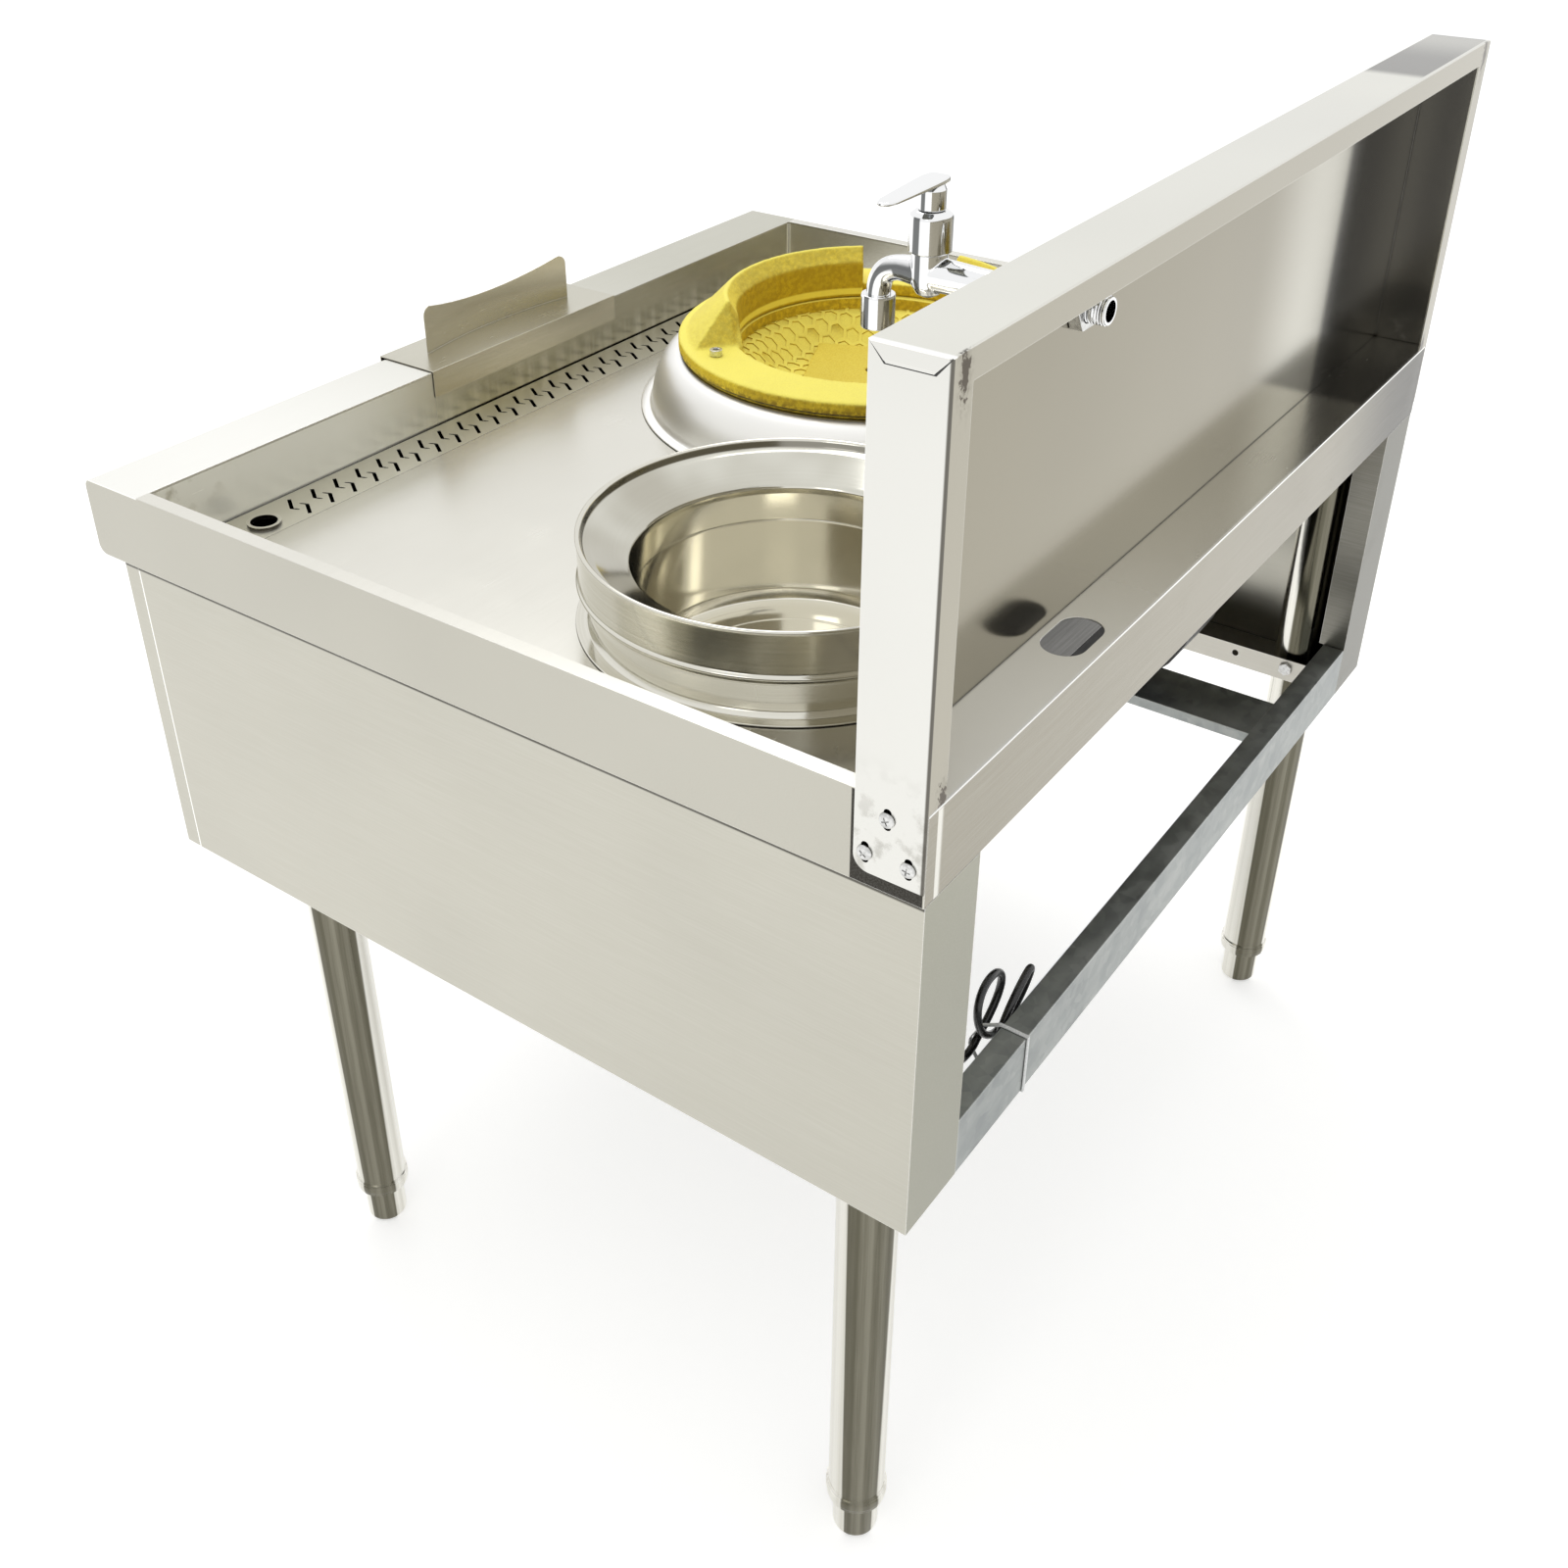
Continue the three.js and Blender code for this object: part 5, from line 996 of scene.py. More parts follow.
def lathe(name, spot, profile, material, steps):
    """Turns (radius, height) points, in millimetres from the spot, about a vertical axis."""
    shape = bmesh.new()
    uv = shape.loops.layers.uv.new("turn")
    closes = profile[0][0] > 0
    rings, runs, run = [], [], 0.0
    for i, (radius, height) in enumerate(profile):
        if i:
            run += (Vector(profile[i]) - Vector(profile[i - 1])).length * mm
        runs.append(run)
        angles = [2 * math.pi * k / steps for k in range(steps)] if radius > 0 else [0.0]
        rings.append([
            shape.verts.new(spot + Vector((radius * math.cos(t), radius * math.sin(t), height)) * mm)
            for t in angles
        ])
    if closes:
        rings.append(rings[0])
        runs.append(run + 0.001)
    for i in range(len(rings) - 1):
        low, high = rings[i], rings[i + 1]
        for k in range(steps):
            corners = [(low, k, runs[i]), (high, k, runs[i + 1])]
            corners += [(high, k + 1, runs[i + 1]), (low, k + 1, runs[i])]
            verts = [ring[j % len(ring)] for ring, j, _ in corners]
            kept = [n for n in range(4) if verts[n] not in verts[:n]]
            if len(kept) < 3:
                continue
            face = shape.faces.new([verts[n] for n in kept])
            for loop, n in zip(face.loops, kept):
                loop[uv].uv = (corners[n][1] / steps, corners[n][2])
    return applied(keep(name, closed_mesh(name, shape), material), 50)


def foot_spot(node):
    """The middle of a solid's lowest plane."""
    low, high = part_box(node)
    return Vector(((low.x + high.x) / 2, (low.y + high.y) / 2, low.z))


# %% [markdown]
# ## Legs and feet
# Each leg is a tube in a thicker collar, and a foot with a threaded stem screws up into it. The
# four legs are alike, so two profiles and one loop make them all.

# %% Legs and feet
leg_radius, leg_wall, stem_bore = 25.5, 1.5, 9.5
collar_radius, collar_height = 27.7, 16
leg_low, leg_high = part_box("leg_front_left")
leg_length = (leg_high.z - leg_low.z) / mm
leg_profile = rounded([
    (stem_bore, 0),
    (collar_radius - 0.6, 0),
    (collar_radius - 0.6, 3),
    (collar_radius, 4),
    (collar_radius, collar_height - 5),
    (collar_radius - 1.2, collar_height - 3.4),
    (collar_radius - 0.1, collar_height - 1.6),
    (leg_radius, collar_height),
    (leg_radius, leg_length),
    (leg_radius - leg_wall, leg_length),
    (leg_radius - leg_wall, collar_height),
    (stem_bore, collar_height),
], 0.7)
foot_profile = rounded([
    (0, 0), (17, 0), (20.2, 3.5), (20.8, 6), (20.8, 41), (19.6, 44), (9, 44), (9, 112), (0, 112)], 0.8)
corners = ("front_left", "front_right", "rear_left", "rear_right")
for corner in corners:
    leg = lathe("leg_tube_" + corner, foot_spot("leg_" + corner), leg_profile, leg_steel, 96)
    stand_in(leg, "leg_stainless", "leg_" + corner)
    foot = lathe("bullet_foot_" + corner, foot_spot("foot_" + corner), foot_profile, leg_steel, 72)
    stand_in(foot, "leg_stainless", "foot_" + corner)
    soften("leg_bolt_" + corner, zinc_plate, "zinc_plate", 0.5 * mm)
print(f"legs {leg_length:.1f} mm long")

# %% [markdown]
# ## The bell dome, the pot and its collar
# The dome rises from a flat flange in a quarter of an ellipse. The pot is a funnel round a deep
# bowl, and its outer wall ends in a rolled band; it hangs by that wall on the collar.

# %% The bell dome, the pot and its collar


def quarter(start, end, steps):
    """A quarter of an ellipse from one (radius, height) point up to another."""
    (r0, z0), (r1, z1) = start, end
    turns = [math.pi / 2 * i / steps for i in range(steps + 1)]
    return [(r1 + (r0 - r1) * math.cos(t), z0 + (z1 - z0) * math.sin(t)) for t in turns]


dome_height = 57.7
bell_outside = quarter((231.5, 1.6), (197, dome_height), 22)
bell_inside = quarter((229, 0), (197, dome_height - 2), 12)
dome_profile = [
    (242.4, 0), (243, 0.5), (243, 1.2), (242.4, 1.8),
    *rounded([(236, 1.9), (233.5, 1.9), bell_outside[1]], 1.4),
    *bell_outside[2:],
    (187, dome_height), (186, dome_height - 1), (187, dome_height - 2),
    *reversed(bell_inside),
]
dome = lathe("bell_dome", foot_spot("burner_dome"), dome_profile, bell_steel, 160)
stand_in(dome, "satin_stainless", "burner_dome")

collar_profile = rounded([
    (161.5, 0), (175.6, 0), (176, 0.8), (175.6, 1.5), (166.5, 1.7), (163, 6), (168, 30.5),
    (168.5, 32.4), (170.4, 33.2), (170.9, 35), (170.4, 37), (168.4, 37.4), (167, 36.6),
    (167, 31), (161.6, 6.5)], 0.5)
collar = lathe("pot_collar_ring", foot_spot("pot_collar"), collar_profile, pot_steel, 160)
stand_in(collar, "polished_stainless", "pot_collar")

rim = (pot_high.z - pot_low.z) / mm
funnel, band_foot = rim - 26, rim - 42
pot_floor = [(0, 0), (118, 0), (127, 3), (130.1, 13)]
pot_outside = [(130.1, funnel - 2), (166, rim - 10.6), (169.9, rim - 8), (169.9, band_foot)]
pot_band = [
    (172.6, band_foot), (173.9, band_foot + 1.4), (173.6, band_foot + 3), (171.7, band_foot + 4.6),
    (171.5, band_foot + 6)]
pot_rim = [
    (171.5, rim - 3.2), (172.4, rim - 2.2), (172.5, rim - 0.9), (171.4, rim), (169.6, rim - 0.1),
    (168.2, rim - 1.4), (166.6, rim - 7.2), (161, rim - 9.4)]
pot_bowl = [
    (134, funnel + 1.4), (130.4, funnel - 0.6), (128.9, funnel - 3), (128.5, funnel - 8),
    (128.5, funnel - 33), (128.1, funnel - 33.8), (128.5, funnel - 34.6), (128.5, 15), (126, 5)]
pot_inside_floor = [(117, 1.8), (96, 1.7), (95, 2.4), (93.4, 1.7), (0, 1.7)]
pot_profile = rounded([
    *pot_floor, *pot_outside, *pot_band, *pot_rim, *pot_bowl, *pot_inside_floor], 1.0)
pot = lathe("water_pot", foot_spot("tail_pot"), pot_profile, pot_steel, 160)
stand_in(pot, "polished_stainless", "tail_pot")

# %% [markdown]
# ## Repeats with Geometry Nodes
# A pattern such as the strainer's slots is one shape and a rule. Geometry Nodes keep the rule
# apart from the shape: the tree has named inputs for its sizes, and a modifier sets them.
# The evaluated result is copied into a plain mesh, and the modifier is thrown away.

# %% Trees and what grows from them


def geometry_tree(name, **sizes):
    """An empty tree with a mesh input and one named input for each size."""
    tree = bpy.data.node_groups.new(name, "GeometryNodeTree")
    face = tree.interface
    face.new_socket("Geometry", in_out="INPUT", socket_type="NodeSocketGeometry")
    face.new_socket("Geometry", in_out="OUTPUT", socket_type="NodeSocketGeometry")
    for label, value in sizes.items():
        kind = "NodeSocketInt" if isinstance(value, int) else "NodeSocketFloat"
        face.new_socket(label, in_out="INPUT", socket_type=kind).default_value = value
    graph = Graph(tree)
    given = graph.add("NodeGroupInput", out=None)
    return graph, given[:1 + len(sizes)]


def close_tree(graph, shape, material):
    """Realizes the instances, sets the finish and ends the tree."""
    real = graph.add("GeometryNodeRealizeInstances", {}, {0: shape})
    dressed = graph.add("GeometryNodeSetMaterial", {}, {"Geometry": real, "Material": material})
    graph.add("NodeGroupOutput", {}, {0: dressed}, out=None)


def grown(name, graph, base=None, smooth_angle=40, **sizes):
    """Runs a tree on a base mesh and keeps the result as a plain mesh."""
    piece = keep(name, base or bpy.data.meshes.new(name), None)
    modifier = piece.modifiers.new("tree", "NODES")
    modifier.node_group = graph.tree
    for item in graph.tree.interface.items_tree:
        if item.in_out == "INPUT" and item.name in sizes:
            modifier[item.identifier] = sizes[item.name]
    return applied(piece, smooth_angle)


# %% [markdown]
# ## The strainer strip
# A long plate covers the gutter. Its slots come in pairs: a thick slanted bar with a thin tail,
# and the same turned half round. One pair is the base mesh; the tree sets copies of it along the
# strip and cuts them out of a plate, as a punch would.

# %% The strainer strip
strip_low, strip_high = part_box("strainer_strip")
slot_pitch, slot_count = 28 * mm, 28
cutter_reach = 5 * mm
strip_middle = (strip_low + strip_high) / 2
strip_middle.z = strip_low.z + 1 * mm
strip_size = strip_high - strip_low
finger_radius, finger_rim = 12.5 * mm, 3 * mm
finger_hole = Vector((398, -327, 0)) * mm
finger_hole.z = strip_middle.z
first_pair = finger_hole + Vector((-43, -2, 0)) * mm


bar_length, bar_width, bar_lean = 20.6, 3.8, math.radians(33.5)
tail_length, tail_lean = 8.0, math.radians(24)


def hooked_slot(half):
    """The outline of one slot about the middle of its pair, in millimetres."""
    way = Vector((math.sin(bar_lean), math.cos(bar_lean)))
    out = Vector((way.y, -way.x)) * bar_width / 2
    elbow = Vector((7.3, -2.1))
    foot = elbow - way * bar_length
    tail = Vector((-math.sin(tail_lean), math.cos(tail_lean))) * tail_length
    side = Vector((tail.y, -tail.x)).normalized()
    middle, tip = elbow + tail * 0.6, elbow + tail
    outline = (foot + out, elbow + out, middle + side * 1.3, tip + side * 0.5, tip - side * 0.5,
               middle - side * 1.1, elbow - out, foot - out)
    return [half * point for point in outline]


def slot_pair():
    """Two slots as solid cutters, standing across the plate."""
    shape = bmesh.new()
    for half in (1, -1):
        outline = [(p.x * mm, p.y * mm, -cutter_reach) for p in hooked_slot(half)]
        raised(shape, outline, lambda point: point + Vector((0, 0, 2 * cutter_reach)))
    return closed_mesh("slot_pair", shape)


def strainer_tree():
    graph, (punch, pitch, count, length, depth, thickness) = geometry_tree(
        "punched_strip", Pitch=slot_pitch, Count=slot_count, Length=0.97, Depth=54 * mm, Thickness=1.2 * mm)

    def disc(radius, depth, rise=0.0):
        """A round plug on the finger hole's place."""
        plug = graph.add("GeometryNodeMeshCylinder", {}, {"Vertices": 48, "Radius": radius, "Depth": depth})
        place = finger_hole - strip_middle + Vector((0, 0, rise))
        return graph.add("GeometryNodeTransform", {}, {"Geometry": plug, "Translation": tuple(place)})

    hole = disc(finger_radius, 20 * mm)
    collar = disc(finger_radius + finger_rim, 4 * mm, 2 * mm)
    line = graph.add("GeometryNodeMeshLine", {}, {
        "Count": count, "Start Location": tuple(first_pair - strip_middle),
        "Offset": graph.vector(pitch * -1)})
    punches = graph.add("GeometryNodeInstanceOnPoints", {}, {"Points": line, "Instance": punch})
    cutters = graph.add("GeometryNodeRealizeInstances", {}, {0: punches})
    block = graph.add("GeometryNodeMeshCube", {}, {"Size": graph.vector(length, depth, thickness)})
    plate = graph.add("GeometryNodeTransform", {}, {
        "Geometry": block, "Translation": graph.vector(0.0, 0.0, 1 * mm - thickness * 0.5)})
    whole = graph.add("GeometryNodeMeshBoolean", {"operation": "UNION"}, {"Mesh 2": [plate, collar]})
    cut = graph.add("GeometryNodeMeshBoolean", {"operation": "DIFFERENCE"}, {
        "Mesh 1": whole, "Mesh 2": [cutters, hole]})
    placed = graph.add("GeometryNodeTransform", {}, {"Geometry": cut, "Translation": tuple(strip_middle)})
    close_tree(graph, placed, strip_steel)
    return graph


strip = grown("punched_strip", strainer_tree(), slot_pair(), Pitch=slot_pitch, Count=slot_count,
              Length=strip_size.x, Depth=strip_size.y)
stand_in(strip, "satin_stainless", "strainer_strip")
print(f"{2 * slot_count} slots in a strip {strip_size.x / mm:.0f} mm long")

# %% [markdown]
# ## Castings
# A sand casting has no sharp edge and no true plane. A voxel remesh melts the parts of a casting
# into one skin with rounded joints, and a little noise moves the skin in and out as sand does.

# %% Casting a shape
burner_spot = foot_spot("wok_ring")


def joined(name, pieces, material):
    """Several pieces' meshes in one, each still closed."""
    shape = bmesh.new()
    for piece in pieces:
        shape.from_mesh(piece.data)
        bpy.data.objects.remove(piece)
    return keep(name, closed_mesh(name, shape, turn_out=False), material)


def cast(piece, voxel, rounds, sand, within):
    """Melts a piece into one skin, smooths it and roughens it, and keeps it within a box."""
    skin = piece.modifiers.new("skin", "REMESH")
    skin.mode, skin.voxel_size = "VOXEL", voxel
    ease = piece.modifiers.new("ease", "SMOOTH")
    ease.iterations, ease.factor = rounds, 0.5
    applied(piece, 60)
    low, high = within
    for vert, normal in zip(piece.data.vertices, [v.normal.copy() for v in piece.data.vertices]):
        lift = noise.noise(vert.co * 130) * 0.6 + noise.noise(vert.co * 330) * 0.4
        moved = vert.co + normal * lift * sand
        vert.co = [min(max(moved[i], low[i]), high[i]) for i in range(3)]
    return piece


wall_rise, seat_drop, ramp_degrees = 55, 17, 9
ramp_foot = 0.218


def wall_sector(name, start, end, steps=72):
    """A raised wall of the ring: upright inside, a sloped seat, a cone outside, a ramp at its start."""
    ramp_share = ramp_degrees / abs(end - start)
    rings = []
    for share in [0.0] + [ramp_share + (1 - ramp_share) * i / steps for i in range(steps + 1)]:
        rise = wall_rise * min(1.0, ramp_foot + (1 - ramp_foot) * share / ramp_share)
        seat = rise * (1 - seat_drop / wall_rise)
        angle = math.radians(start + (end - start) * share)
        ring = [(141, 0.4), (201, 0.4), (201, 7), (153, rise), (151, rise), (141, seat)]
        rings.append([
            burner_spot + Vector((r * math.cos(angle), r * math.sin(angle), z)) * mm for r, z in ring
        ])
    shape = bmesh.new()
    made = [[shape.verts.new(p) for p in ring] for ring in rings]
    count = len(made[0])
    for a, b in zip(made, made[1:]):
        for k in range(count):
            after = (k + 1) % count
            shape.faces.new([a[k], b[k], b[after]])
            shape.faces.new([a[k], b[after], a[after]])
    shape.faces.new(made[0])
    shape.faces.new(made[-1])
    return keep(name, closed_mesh(name, shape))


ring_base = lathe(
    "ring_base", burner_spot, [(147, 0), (202, 0), (202, 12), (199.5, 14), (147, 14)], None, 160)
walls = [wall_sector("wall_a", -35, -143), wall_sector("wall_b", 67, 175.5)]
ring = joined("fire_ring_casting", [ring_base, *walls], yellow_casting)
cast(ring, 1.8 * mm, 1, 0.40 * mm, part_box("wok_ring"))
stand_in(ring, "yellow_cast_iron", "wok_ring")
print(f"the fire ring's skin has {len(ring.data.polygons)} faces")

# %% [markdown]
# ## The honeycomb dish
# Under the ring lies a shallow dish with a honeycomb cast into it. A honeycomb is a triangular
# lattice of points with a hexagon on each, so the tree sets six-sided faces on a lattice, merges
# them, sinks the middle of each, and bends the whole sheet into the dish.

# %% The fire chamber and its honeycomb
chamber_low, chamber_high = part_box("fire_chamber")
chamber_spot = foot_spot("fire_chamber")
chamber_rise = (chamber_high.z - chamber_low.z) / mm
dish_floor = 5.0
dish_edge = dish_floor + 26
chamber_profile = rounded([
    (0, 0), (100, 0), (139, dish_edge - 5), (145, dish_edge), (145, chamber_rise - 2.6),
    (199, chamber_rise - 2.6), (199, chamber_rise), (140, chamber_rise), (140, dish_edge + 3),
    (135, dish_edge - 0.5), (100, dish_floor - 0.5), (0, dish_floor - 0.5)], 1.5)
chamber = lathe("fire_chamber_casting", chamber_spot, chamber_profile, yellow_casting, 128)


cell_pitch, honeycomb_reach, cells_across = 17 * mm, 146 * mm, 20
dish_flat, dish_slope_end, dish_wall = 88 * mm, 137 * mm, 140.5 * mm
honeycomb_rise = 5.5


def honeycomb_tree():
    graph, (_, pitch, reach, cell, sunk, fall) = geometry_tree(
        "honeycomb", Pitch=cell_pitch, Reach=honeycomb_reach, Cell=0.78, Sunk=1.2 * mm, Fall=29 * mm)
    row = pitch * math.sqrt(3) / 2
    grid = graph.add("GeometryNodeMeshGrid", {}, {
        "Size X": pitch * cells_across, "Size Y": row * cells_across,
        "Vertices X": cells_across + 1, "Vertices Y": cells_across + 1})
    place = graph.add("GeometryNodeInputPosition")
    x, y, _ = graph.split(place)
    odd = (y / row).math("ROUND").math("PINGPONG", 1.0)
    lattice = graph.add("GeometryNodeSetPosition", {}, {
        "Geometry": grid, "Offset": graph.vector(odd * pitch * 0.5)})
    hexagon = graph.add("GeometryNodeMeshCircle", {"fill_type": "NGON"}, {
        "Vertices": 6, "Radius": pitch / math.sqrt(3)})
    upright = graph.add("GeometryNodeTransform", {}, {"Geometry": hexagon, "Rotation": (0, 0, math.pi / 6)})
    cells = graph.add("GeometryNodeInstanceOnPoints", {}, {"Points": lattice, "Instance": upright})
    real = graph.add("GeometryNodeRealizeInstances", {}, {0: cells})
    sheet = graph.add("GeometryNodeMergeByDistance", {}, {"Geometry": real, "Distance": 0.5 * mm})
    far = graph.add("ShaderNodeVectorMath", {"operation": "LENGTH"}, {0: place}, out="Value")
    too_far = graph.add("FunctionNodeCompare", {"operation": "GREATER_THAN"}, {0: far, 1: reach})
    kept = graph.add("GeometryNodeDeleteGeometry", {"domain": "FACE"}, {
        "Geometry": sheet, "Selection": too_far})
    split_faces, top, _ = graph.add("GeometryNodeExtrudeMesh", {"mode": "FACES"}, {
        "Mesh": kept, "Offset Scale": 0.0, "Individual": True}, out=None)
    inset = graph.add("GeometryNodeScaleElements", {}, {
        "Geometry": split_faces, "Selection": top, "Scale": cell})
    pocket = graph.add("GeometryNodeExtrudeMesh", {"mode": "FACES"}, {
        "Mesh": inset, "Selection": top, "Offset": graph.vector(0.0, 0.0, sunk * -1), "Individual": True})
    inward = no_more(far, dish_wall) / far - 1
    climb = far.ramp(dish_flat, dish_slope_end) * fall
    bent = graph.add("GeometryNodeSetPosition", {}, {
        "Geometry": pocket, "Offset": graph.vector(x * inward, y * inward, climb)})
    spot = chamber_spot + Vector((0, 0, (dish_floor + honeycomb_rise) * mm))
    placed = graph.add("GeometryNodeTransform", {}, {"Geometry": bent, "Translation": tuple(spot)})
    close_tree(graph, placed, yellow_casting)
    return graph


honeycomb = grown("honeycomb", honeycomb_tree(), Pitch=cell_pitch, Reach=honeycomb_reach)
chamber = joined("fire_chamber_casting", [chamber, honeycomb], yellow_casting)
applied(chamber, 50)
stand_in(chamber, "yellow_cast_iron", "fire_chamber")

block_piece = keep("burner_block_casting", whole_faces(nodes["burner_block"].data), yellow_casting)
cast(block_piece, 1.3 * mm, 2, 0.4 * mm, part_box("burner_block"))
stand_in(block_piece, "yellow_cast_iron", "burner_block")

# %% [markdown]
# ## The tap
# The tap is chromed brass, cast with soft joints between the body, the spout and the tail pipe,
# and turned where the bonnet, the cup and the thread are. The cast part is melted into one skin;
# the turned parts keep their crisp edges.

# %% The tap
tap_axis = Vector((243, 267, 1101)) * mm


def tipped(piece, spot, degrees):
    """Turns a piece about the X axis through a spot, in its mesh."""
    rotation = Matrix.Rotation(math.radians(degrees), 4, "X")
    piece.data.transform(Matrix.Translation(spot) @ rotation @ Matrix.Translation(-spot))


def swept(name, points, radii, sides=24):
    """A closed skin along points whose radius changes on the way."""
    shape = bmesh.new()
    rings = []
    for i, (here, radius) in enumerate(zip(points, radii)):
        way = (points[min(i + 1, len(points) - 1)] - points[max(i - 1, 0)]).normalized()
        side = way.cross(Vector((1, 0, 0))).normalized()
        other = way.cross(side)
        rings.append([
            shape.verts.new(here + (side * math.cos(t) + other * math.sin(t)) * radius)
            for t in (2 * math.pi * k / sides for k in range(sides))
        ])
    for a, b in zip(rings, rings[1:]):
        for k in range(sides):
            shape.faces.new([a[k], b[k], b[(k + 1) % sides], a[(k + 1) % sides]])
    shape.faces.new(rings[0])
    shape.faces.new(rings[-1])
    return keep(name, closed_mesh(name, shape))


def bezier(points, steps):
    """Points on one Bezier curve of any degree."""
    made = []
    for i in range(steps + 1):
        level, t = list(points), i / steps
        while len(level) > 1:
            level = [a.lerp(b, t) for a, b in zip(level, level[1:])]
        made.append(level[0])
    return made


spout_steps = 20
spout_line = bezier([tap_axis + Vector(p) * mm for p in (
    (0, 2, -2), (0, -16, 1), (0, -34, 2), (0, -41, -4), (0, -41, -24))], spout_steps)
spout_radii = [(11.5 - 2.4 * min(1, i / 8)) * mm for i in range(spout_steps + 1)]
spout = swept("spout", spout_line, spout_radii)
tap_trunk = lathe("tap_trunk", tap_axis, [
    (0, -17), (5, -16.4), (9, -14), (12, -9), (13, -3), (13, 16), (0, 16)], None, 48)
pipe_line = [tap_axis + Vector((0, y, 0)) * mm for y in (0, 20, 40, 60, 80, 106)]
tail_pipe = swept("tail_pipe", pipe_line, [r * mm for r in (12.4, 12, 11, 10.6, 10.4, 10.4)], 48)
tap_skin = joined("tap_skin", [spout, tap_trunk, tail_pipe], chrome)
cast(tap_skin, 0.8 * mm, 6, 0.0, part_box("tap_body"))
bonnet = lathe("bonnet", tap_axis, rounded([
    (0, 15.6), (13.4, 15.6), (15.2, 16.2), (15.6, 17), (15.6, 40), (15.2, 42.2), (12.4, 44.2),
    (11.4, 45), (0, 45)], 0.5), chrome, 64)
cup = lathe("cup", tap_axis + Vector((0, -41, 0)) * mm, rounded([
    (10.2, -46.4), (12, -47), (12.6, -46), (12.6, -24), (12.2, -22.2), (8, -22.2), (8, -25),
    (10, -25)], 0.4), chrome, 64)
rose_spot = tap_axis + Vector((0, 106, 0)) * mm
rose = lathe("rose", rose_spot, rounded([
    (9.9, -0.3), (15.4, 0.4), (15.4, 1.6), (12.6, 6.4), (9.9, 6.8)], 0.4), chrome, 64)
tipped(rose, rose_spot, 90)


def thread_tree():
    graph, (_, radius, pitch, turns, depth) = geometry_tree(
        "pipe_thread", Radius=9.6 * mm, Pitch=1.8 * mm, Turns=15.0, Depth=0.8 * mm)
    helix = graph.add("GeometryNodeCurveSpiral", {}, {
        "Resolution": 32, "Rotations": turns, "Start Radius": radius, "End Radius": radius,
        "Height": turns * pitch})
    ridge = graph.add("GeometryNodeCurvePrimitiveCircle", {"mode": "RADIUS"}, {
        "Resolution": 6, "Radius": depth})
    tube = graph.add("GeometryNodeCurveToMesh", {}, {
        "Curve": helix, "Profile Curve": ridge, "Fill Caps": True})
    laid = graph.add("GeometryNodeTransform", {}, {
        "Geometry": tube, "Rotation": (-math.pi / 2, 0, 0),
        "Translation": tuple(tap_axis + Vector((0, 112.6, 0)) * mm)})
    close_tree(graph, laid, chrome)
    return graph


nipple = lathe("nipple", tap_axis, rounded([
    (7.5, 106), (9.6, 106), (9.6, 139.2), (7.5, 139.2)], 0.3), chrome, 48)
tipped(nipple, tap_axis, -90)
thread = grown("thread", thread_tree(), smooth_angle=60, Turns=14.2)
tap = joined("tap_body_chrome", [tap_skin, bonnet, cup, rose, nipple, thread], chrome)
applied(tap, 50)
stand_in(tap, "chrome_plate", "tap_body")

lever_low, lever_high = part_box("tap_lever")
stem = lathe("stem", Vector((tap_axis.x, tap_axis.y, lever_low.z)), rounded([
    (0, 0), (9.2, 0), (9.8, 0.8), (9.8, 14), (7.8, 18.4), (0, 18.4)], 0.3), chrome, 64)


def lever_blade():
    """A flat spatula seen from above, thinner towards its round tip."""
    outline = [(-12, -6), (-9, -8.6), (0, -9.8), (10, -9.6), (40, -8.2), (58, -7.2), (64.5, -5), (67, -2)]
    outline += [(67.5, 0), *((x, -y) for x, y in reversed(outline))]
    underside, upperside, taper = 63.4, 67.3, 0.035

    def top_of(point):
        outward = max(0, (point.x - tap_axis.x) / mm)
        return Vector((point.x, point.y, tap_axis.z + (upperside - taper * outward) * mm))

    shape = bmesh.new()
    low = [tap_axis + Vector((x, y, underside - 0.012 * max(0, x))) * mm for x, y in outline]
    raised(shape, low, top_of)
    return bevelled(keep("blade", closed_mesh("blade", shape), chrome), 1.2 * mm, 4)


lever = joined("tap_lever_chrome", [stem, lever_blade()], chrome)
applied(lever, 50)
stand_in(lever, "chrome_plate", "tap_lever")
soften("tap_lock_nut", zinc_plate, "zinc_plate", 0.7 * mm, 3)

# %% [markdown]
# ## Fasteners
# The backsplash hangs on six pan-head screws with a cross recess, and three socket bolts hold the
# fire ring. One screw head is made, and a tree sets it on the six places.

# %% Fasteners
seat_names = [f"{side}_{place}" for side in ("left", "right") for place in ("top", "front", "rear")]
head_height = 2.6


def pan_head():
    """A pan head with a cross recess, looking along +X, its foot at the origin."""
    head = lathe("pan_head", Vector((0, 0, 0)), rounded([
        (0, -9), (2.4, -9), (2.4, 0), (5.8, 0), (5.8, 0.9), (5.1, 1.9), (3.4, 2.45),
        (0, head_height)], 0.3), zinc_plate, 32)
    middle = Matrix.Translation((0, 0, 2.2 * mm))
    bar = Matrix.Diagonal((6.2 * mm, 1.1 * mm, 2.4 * mm, 1))
    for turn in (0, math.pi / 2):
        shape = bmesh.new()
        bmesh.ops.create_cube(shape, size=1, matrix=middle @ Matrix.Rotation(turn, 4, "Z") @ bar)
        cutter = keep("recess", closed_mesh("recess", shape, turn_out=False))
        notch = head.modifiers.new("notch", "BOOLEAN")
        notch.object, notch.operation, notch.solver = cutter, "DIFFERENCE", "EXACT"
        applied(head, 35)
        bpy.data.objects.remove(cutter)
    head.data.transform(Matrix.Rotation(math.radians(90), 4, "Y"))
    mesh = head.data
    bpy.data.objects.remove(head)
    return mesh


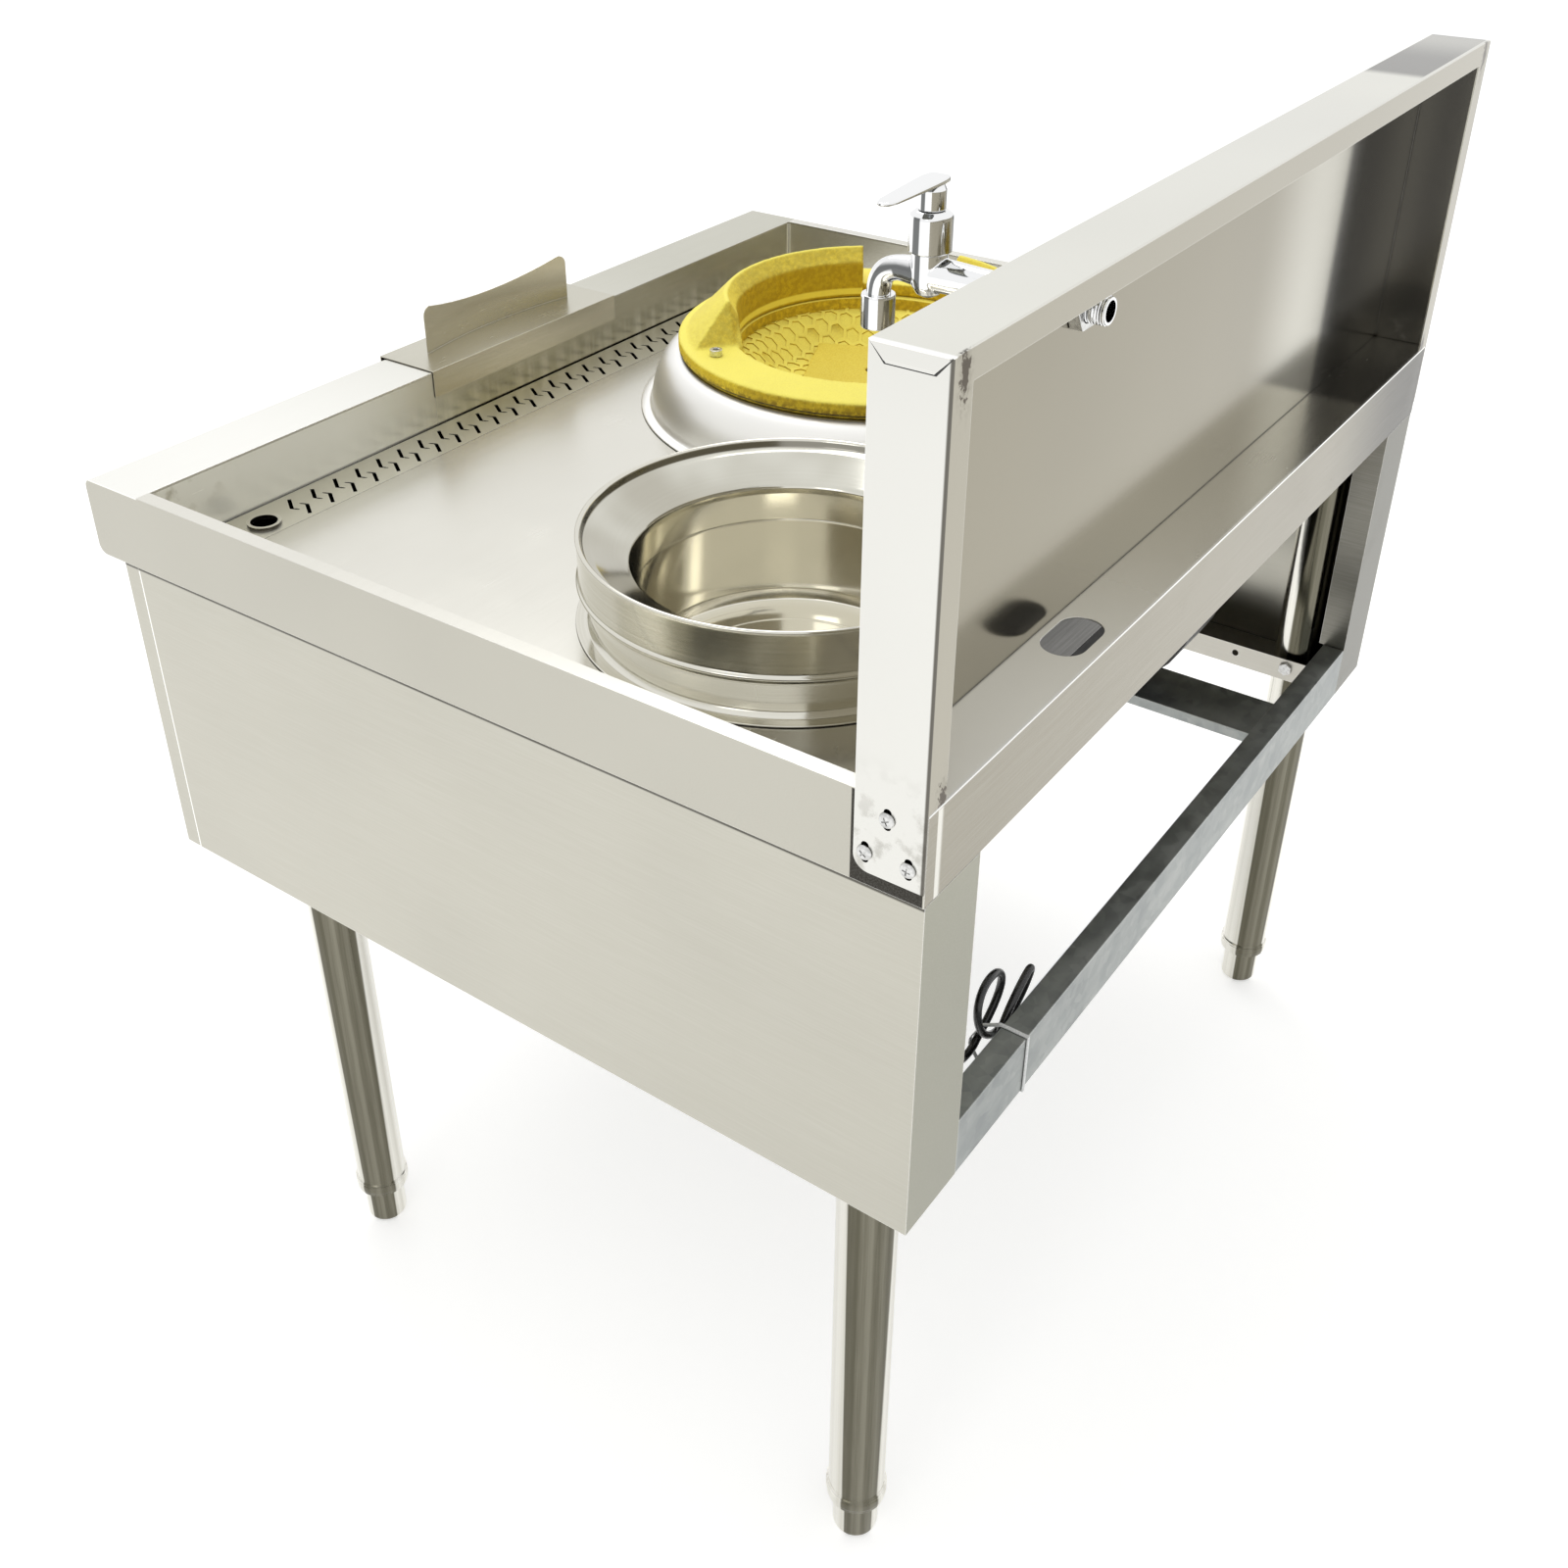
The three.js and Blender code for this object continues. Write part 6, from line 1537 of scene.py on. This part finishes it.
def screws_tree(seats):
    graph, (head, turn) = geometry_tree("backsplash_screws", Turn=0.5)
    placed = []
    for i, (spot, side) in enumerate(seats):
        placed.append(graph.add("GeometryNodeTransform", {}, {
            "Geometry": head, "Translation": tuple(spot),
            "Rotation": graph.vector(turn * (i + 1), 0.0, 0.0 if side > 0 else math.pi)}))
    close_tree(graph, graph.add("GeometryNodeJoinGeometry", {}, {0: placed}), zinc_plate)
    return graph


seats = []
for seat in seat_names:
    low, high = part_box("backsplash_screw_" + seat)
    side = 1 if high.x > 0 else -1
    outer = high.x if side > 0 else low.x
    spot = (low + high) / 2
    spot.x = outer - side * head_height * mm
    seats.append((spot, side))
screws = grown("backsplash_screws", screws_tree(seats), pan_head(), 35)
stand_in(screws, "zinc_plate", *("backsplash_screw_" + seat for seat in seat_names))
for n in (1, 2, 3):
    soften(f"ring_bolt_{n}", zinc_plate, "zinc_plate", 0.5 * mm, 3)

# %% [markdown]
# ## Knobs and the gland
# The knobs are turned skirts with a grip bar across them. The gland is a rubber cone with ribs.

# %% Knobs and the gland
for node, material, slot in (
    ("main_gas_knob", red_plastic, "red_plastic"),
    ("pilot_gas_knob", black_plastic, "black_plastic"),
    ("fan_speed_knob", black_plastic, "black_plastic"),
):
    soften(node, material, slot, 0.9 * mm, 3)

gland_spot = foot_spot("cord_gland")
ribs = []
for k in range(5):
    ribs += [(5.3 + 0.55 * k, 2 + 3 * k), (4.6 + 0.55 * k, 3.2 + 3 * k)]
gland_profile = rounded([(0, 0), (4.9, 0), *ribs, (8, 16.4), (11, 16.9), (11, 23.8), (0, 23.8)], 0.4)
gland = lathe("gland_cone", gland_spot, gland_profile, cord_sheath, 40)
stand_in(gland, "black_rubber", "cord_gland")

# %% [markdown]
# ## The lead's finish
# The lead takes the sheath's finish, hides the imported cord solids and rides with the range.

# %% Dressing the lead
mains_lead.data.materials.append(cord_sheath)
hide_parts("cord_lead", "cord_hank", "cord_tail")
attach(mains_lead, "range")

# %% [markdown]
# ## The stage
# The floor is plain and pale. Its material adds white only for the camera and for reflections, so
# the background is white while the light that the floor sends back stays natural, and a soft
# shadow stays under the range. The lamps are wide and soft, as in a product studio.

# %% The stage
floor_half = 30
floor_corners = [(floor_half * x, floor_half * y, 0) for x, y in ((-1, -1), (1, -1), (1, 1), (-1, 1))]
floor_mesh = bpy.data.meshes.new("floor")
floor_mesh.from_pydata(floor_corners, [], [(0, 1, 2, 3)])


def seen_by_eye(graph):
    """1 for rays from the camera, from a reflection or through glass."""
    camera_ray, glossy_ray, transmission_ray = (
        graph.add("ShaderNodeLightPath", out=name)
        for name in ("Is Camera Ray", "Is Glossy Ray", "Is Transmission Ray"))
    return no_more(camera_ray + glossy_ray + transmission_ray)


pale_floor = bpy.data.materials.new("pale_floor")
pale_floor.use_nodes = True
graph = Graph(pale_floor.node_tree)
shader = pale_floor.node_tree.nodes["Principled BSDF"]
shader.inputs["Base Color"].default_value = (0.80, 0.80, 0.79, 1)
shader.inputs["Roughness"].default_value = 0.9
shader.inputs["Specular IOR Level"].default_value = 0.0
shader.inputs["Emission Strength"].default_value = 0.45
graph.feed(shader.inputs["Emission Color"], graph.blend(seen_by_eye(graph), (0, 0, 0), (1, 1, 1)))
floor = keep("floor", floor_mesh, pale_floor)
floor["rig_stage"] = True

world = bpy.data.worlds.new("studio")
bpy.context.scene.world = world
world.use_nodes = True
graph = Graph(world.node_tree)
sky = world.node_tree.nodes["Background"]
graph.feed(sky.inputs["Color"], graph.blend(seen_by_eye(graph), (0.86, 0.86, 0.86), (1, 1, 1)))
sky.inputs["Strength"].default_value = 1.0


def lamp(name, spot, target, size, power):
    light = bpy.data.lights.new(name, "AREA")
    light.shape, light.size, light.energy = "SQUARE", size, power
    made = bpy.data.objects.new(name, light)
    bpy.context.scene.collection.objects.link(made)
    made.location = spot
    made.rotation_euler = (Vector(target) - Vector(spot)).to_track_quat("-Z", "Y").to_euler()
    return made


lamp("key_light", (-0.9, -1.2, 3.3), (0, 0, 0.7), 1.5, 21)
lamp("side_light", (3.2, 0.4, 2.3), (0.2, 0, 0.6), 1.0, 5)

bpy.context.scene.view_settings.view_transform = "Standard"

# %% [markdown]
# ## The size
# Dressing a part must not change its size, so both boxes are written down and compared.

# %% The size
visual_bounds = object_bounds()
growth = [[round((b - a) / mm, 2) for a, b in zip(*corners)] for corners in zip(cad_bounds, visual_bounds)]
print("grown by (mm):", growth)
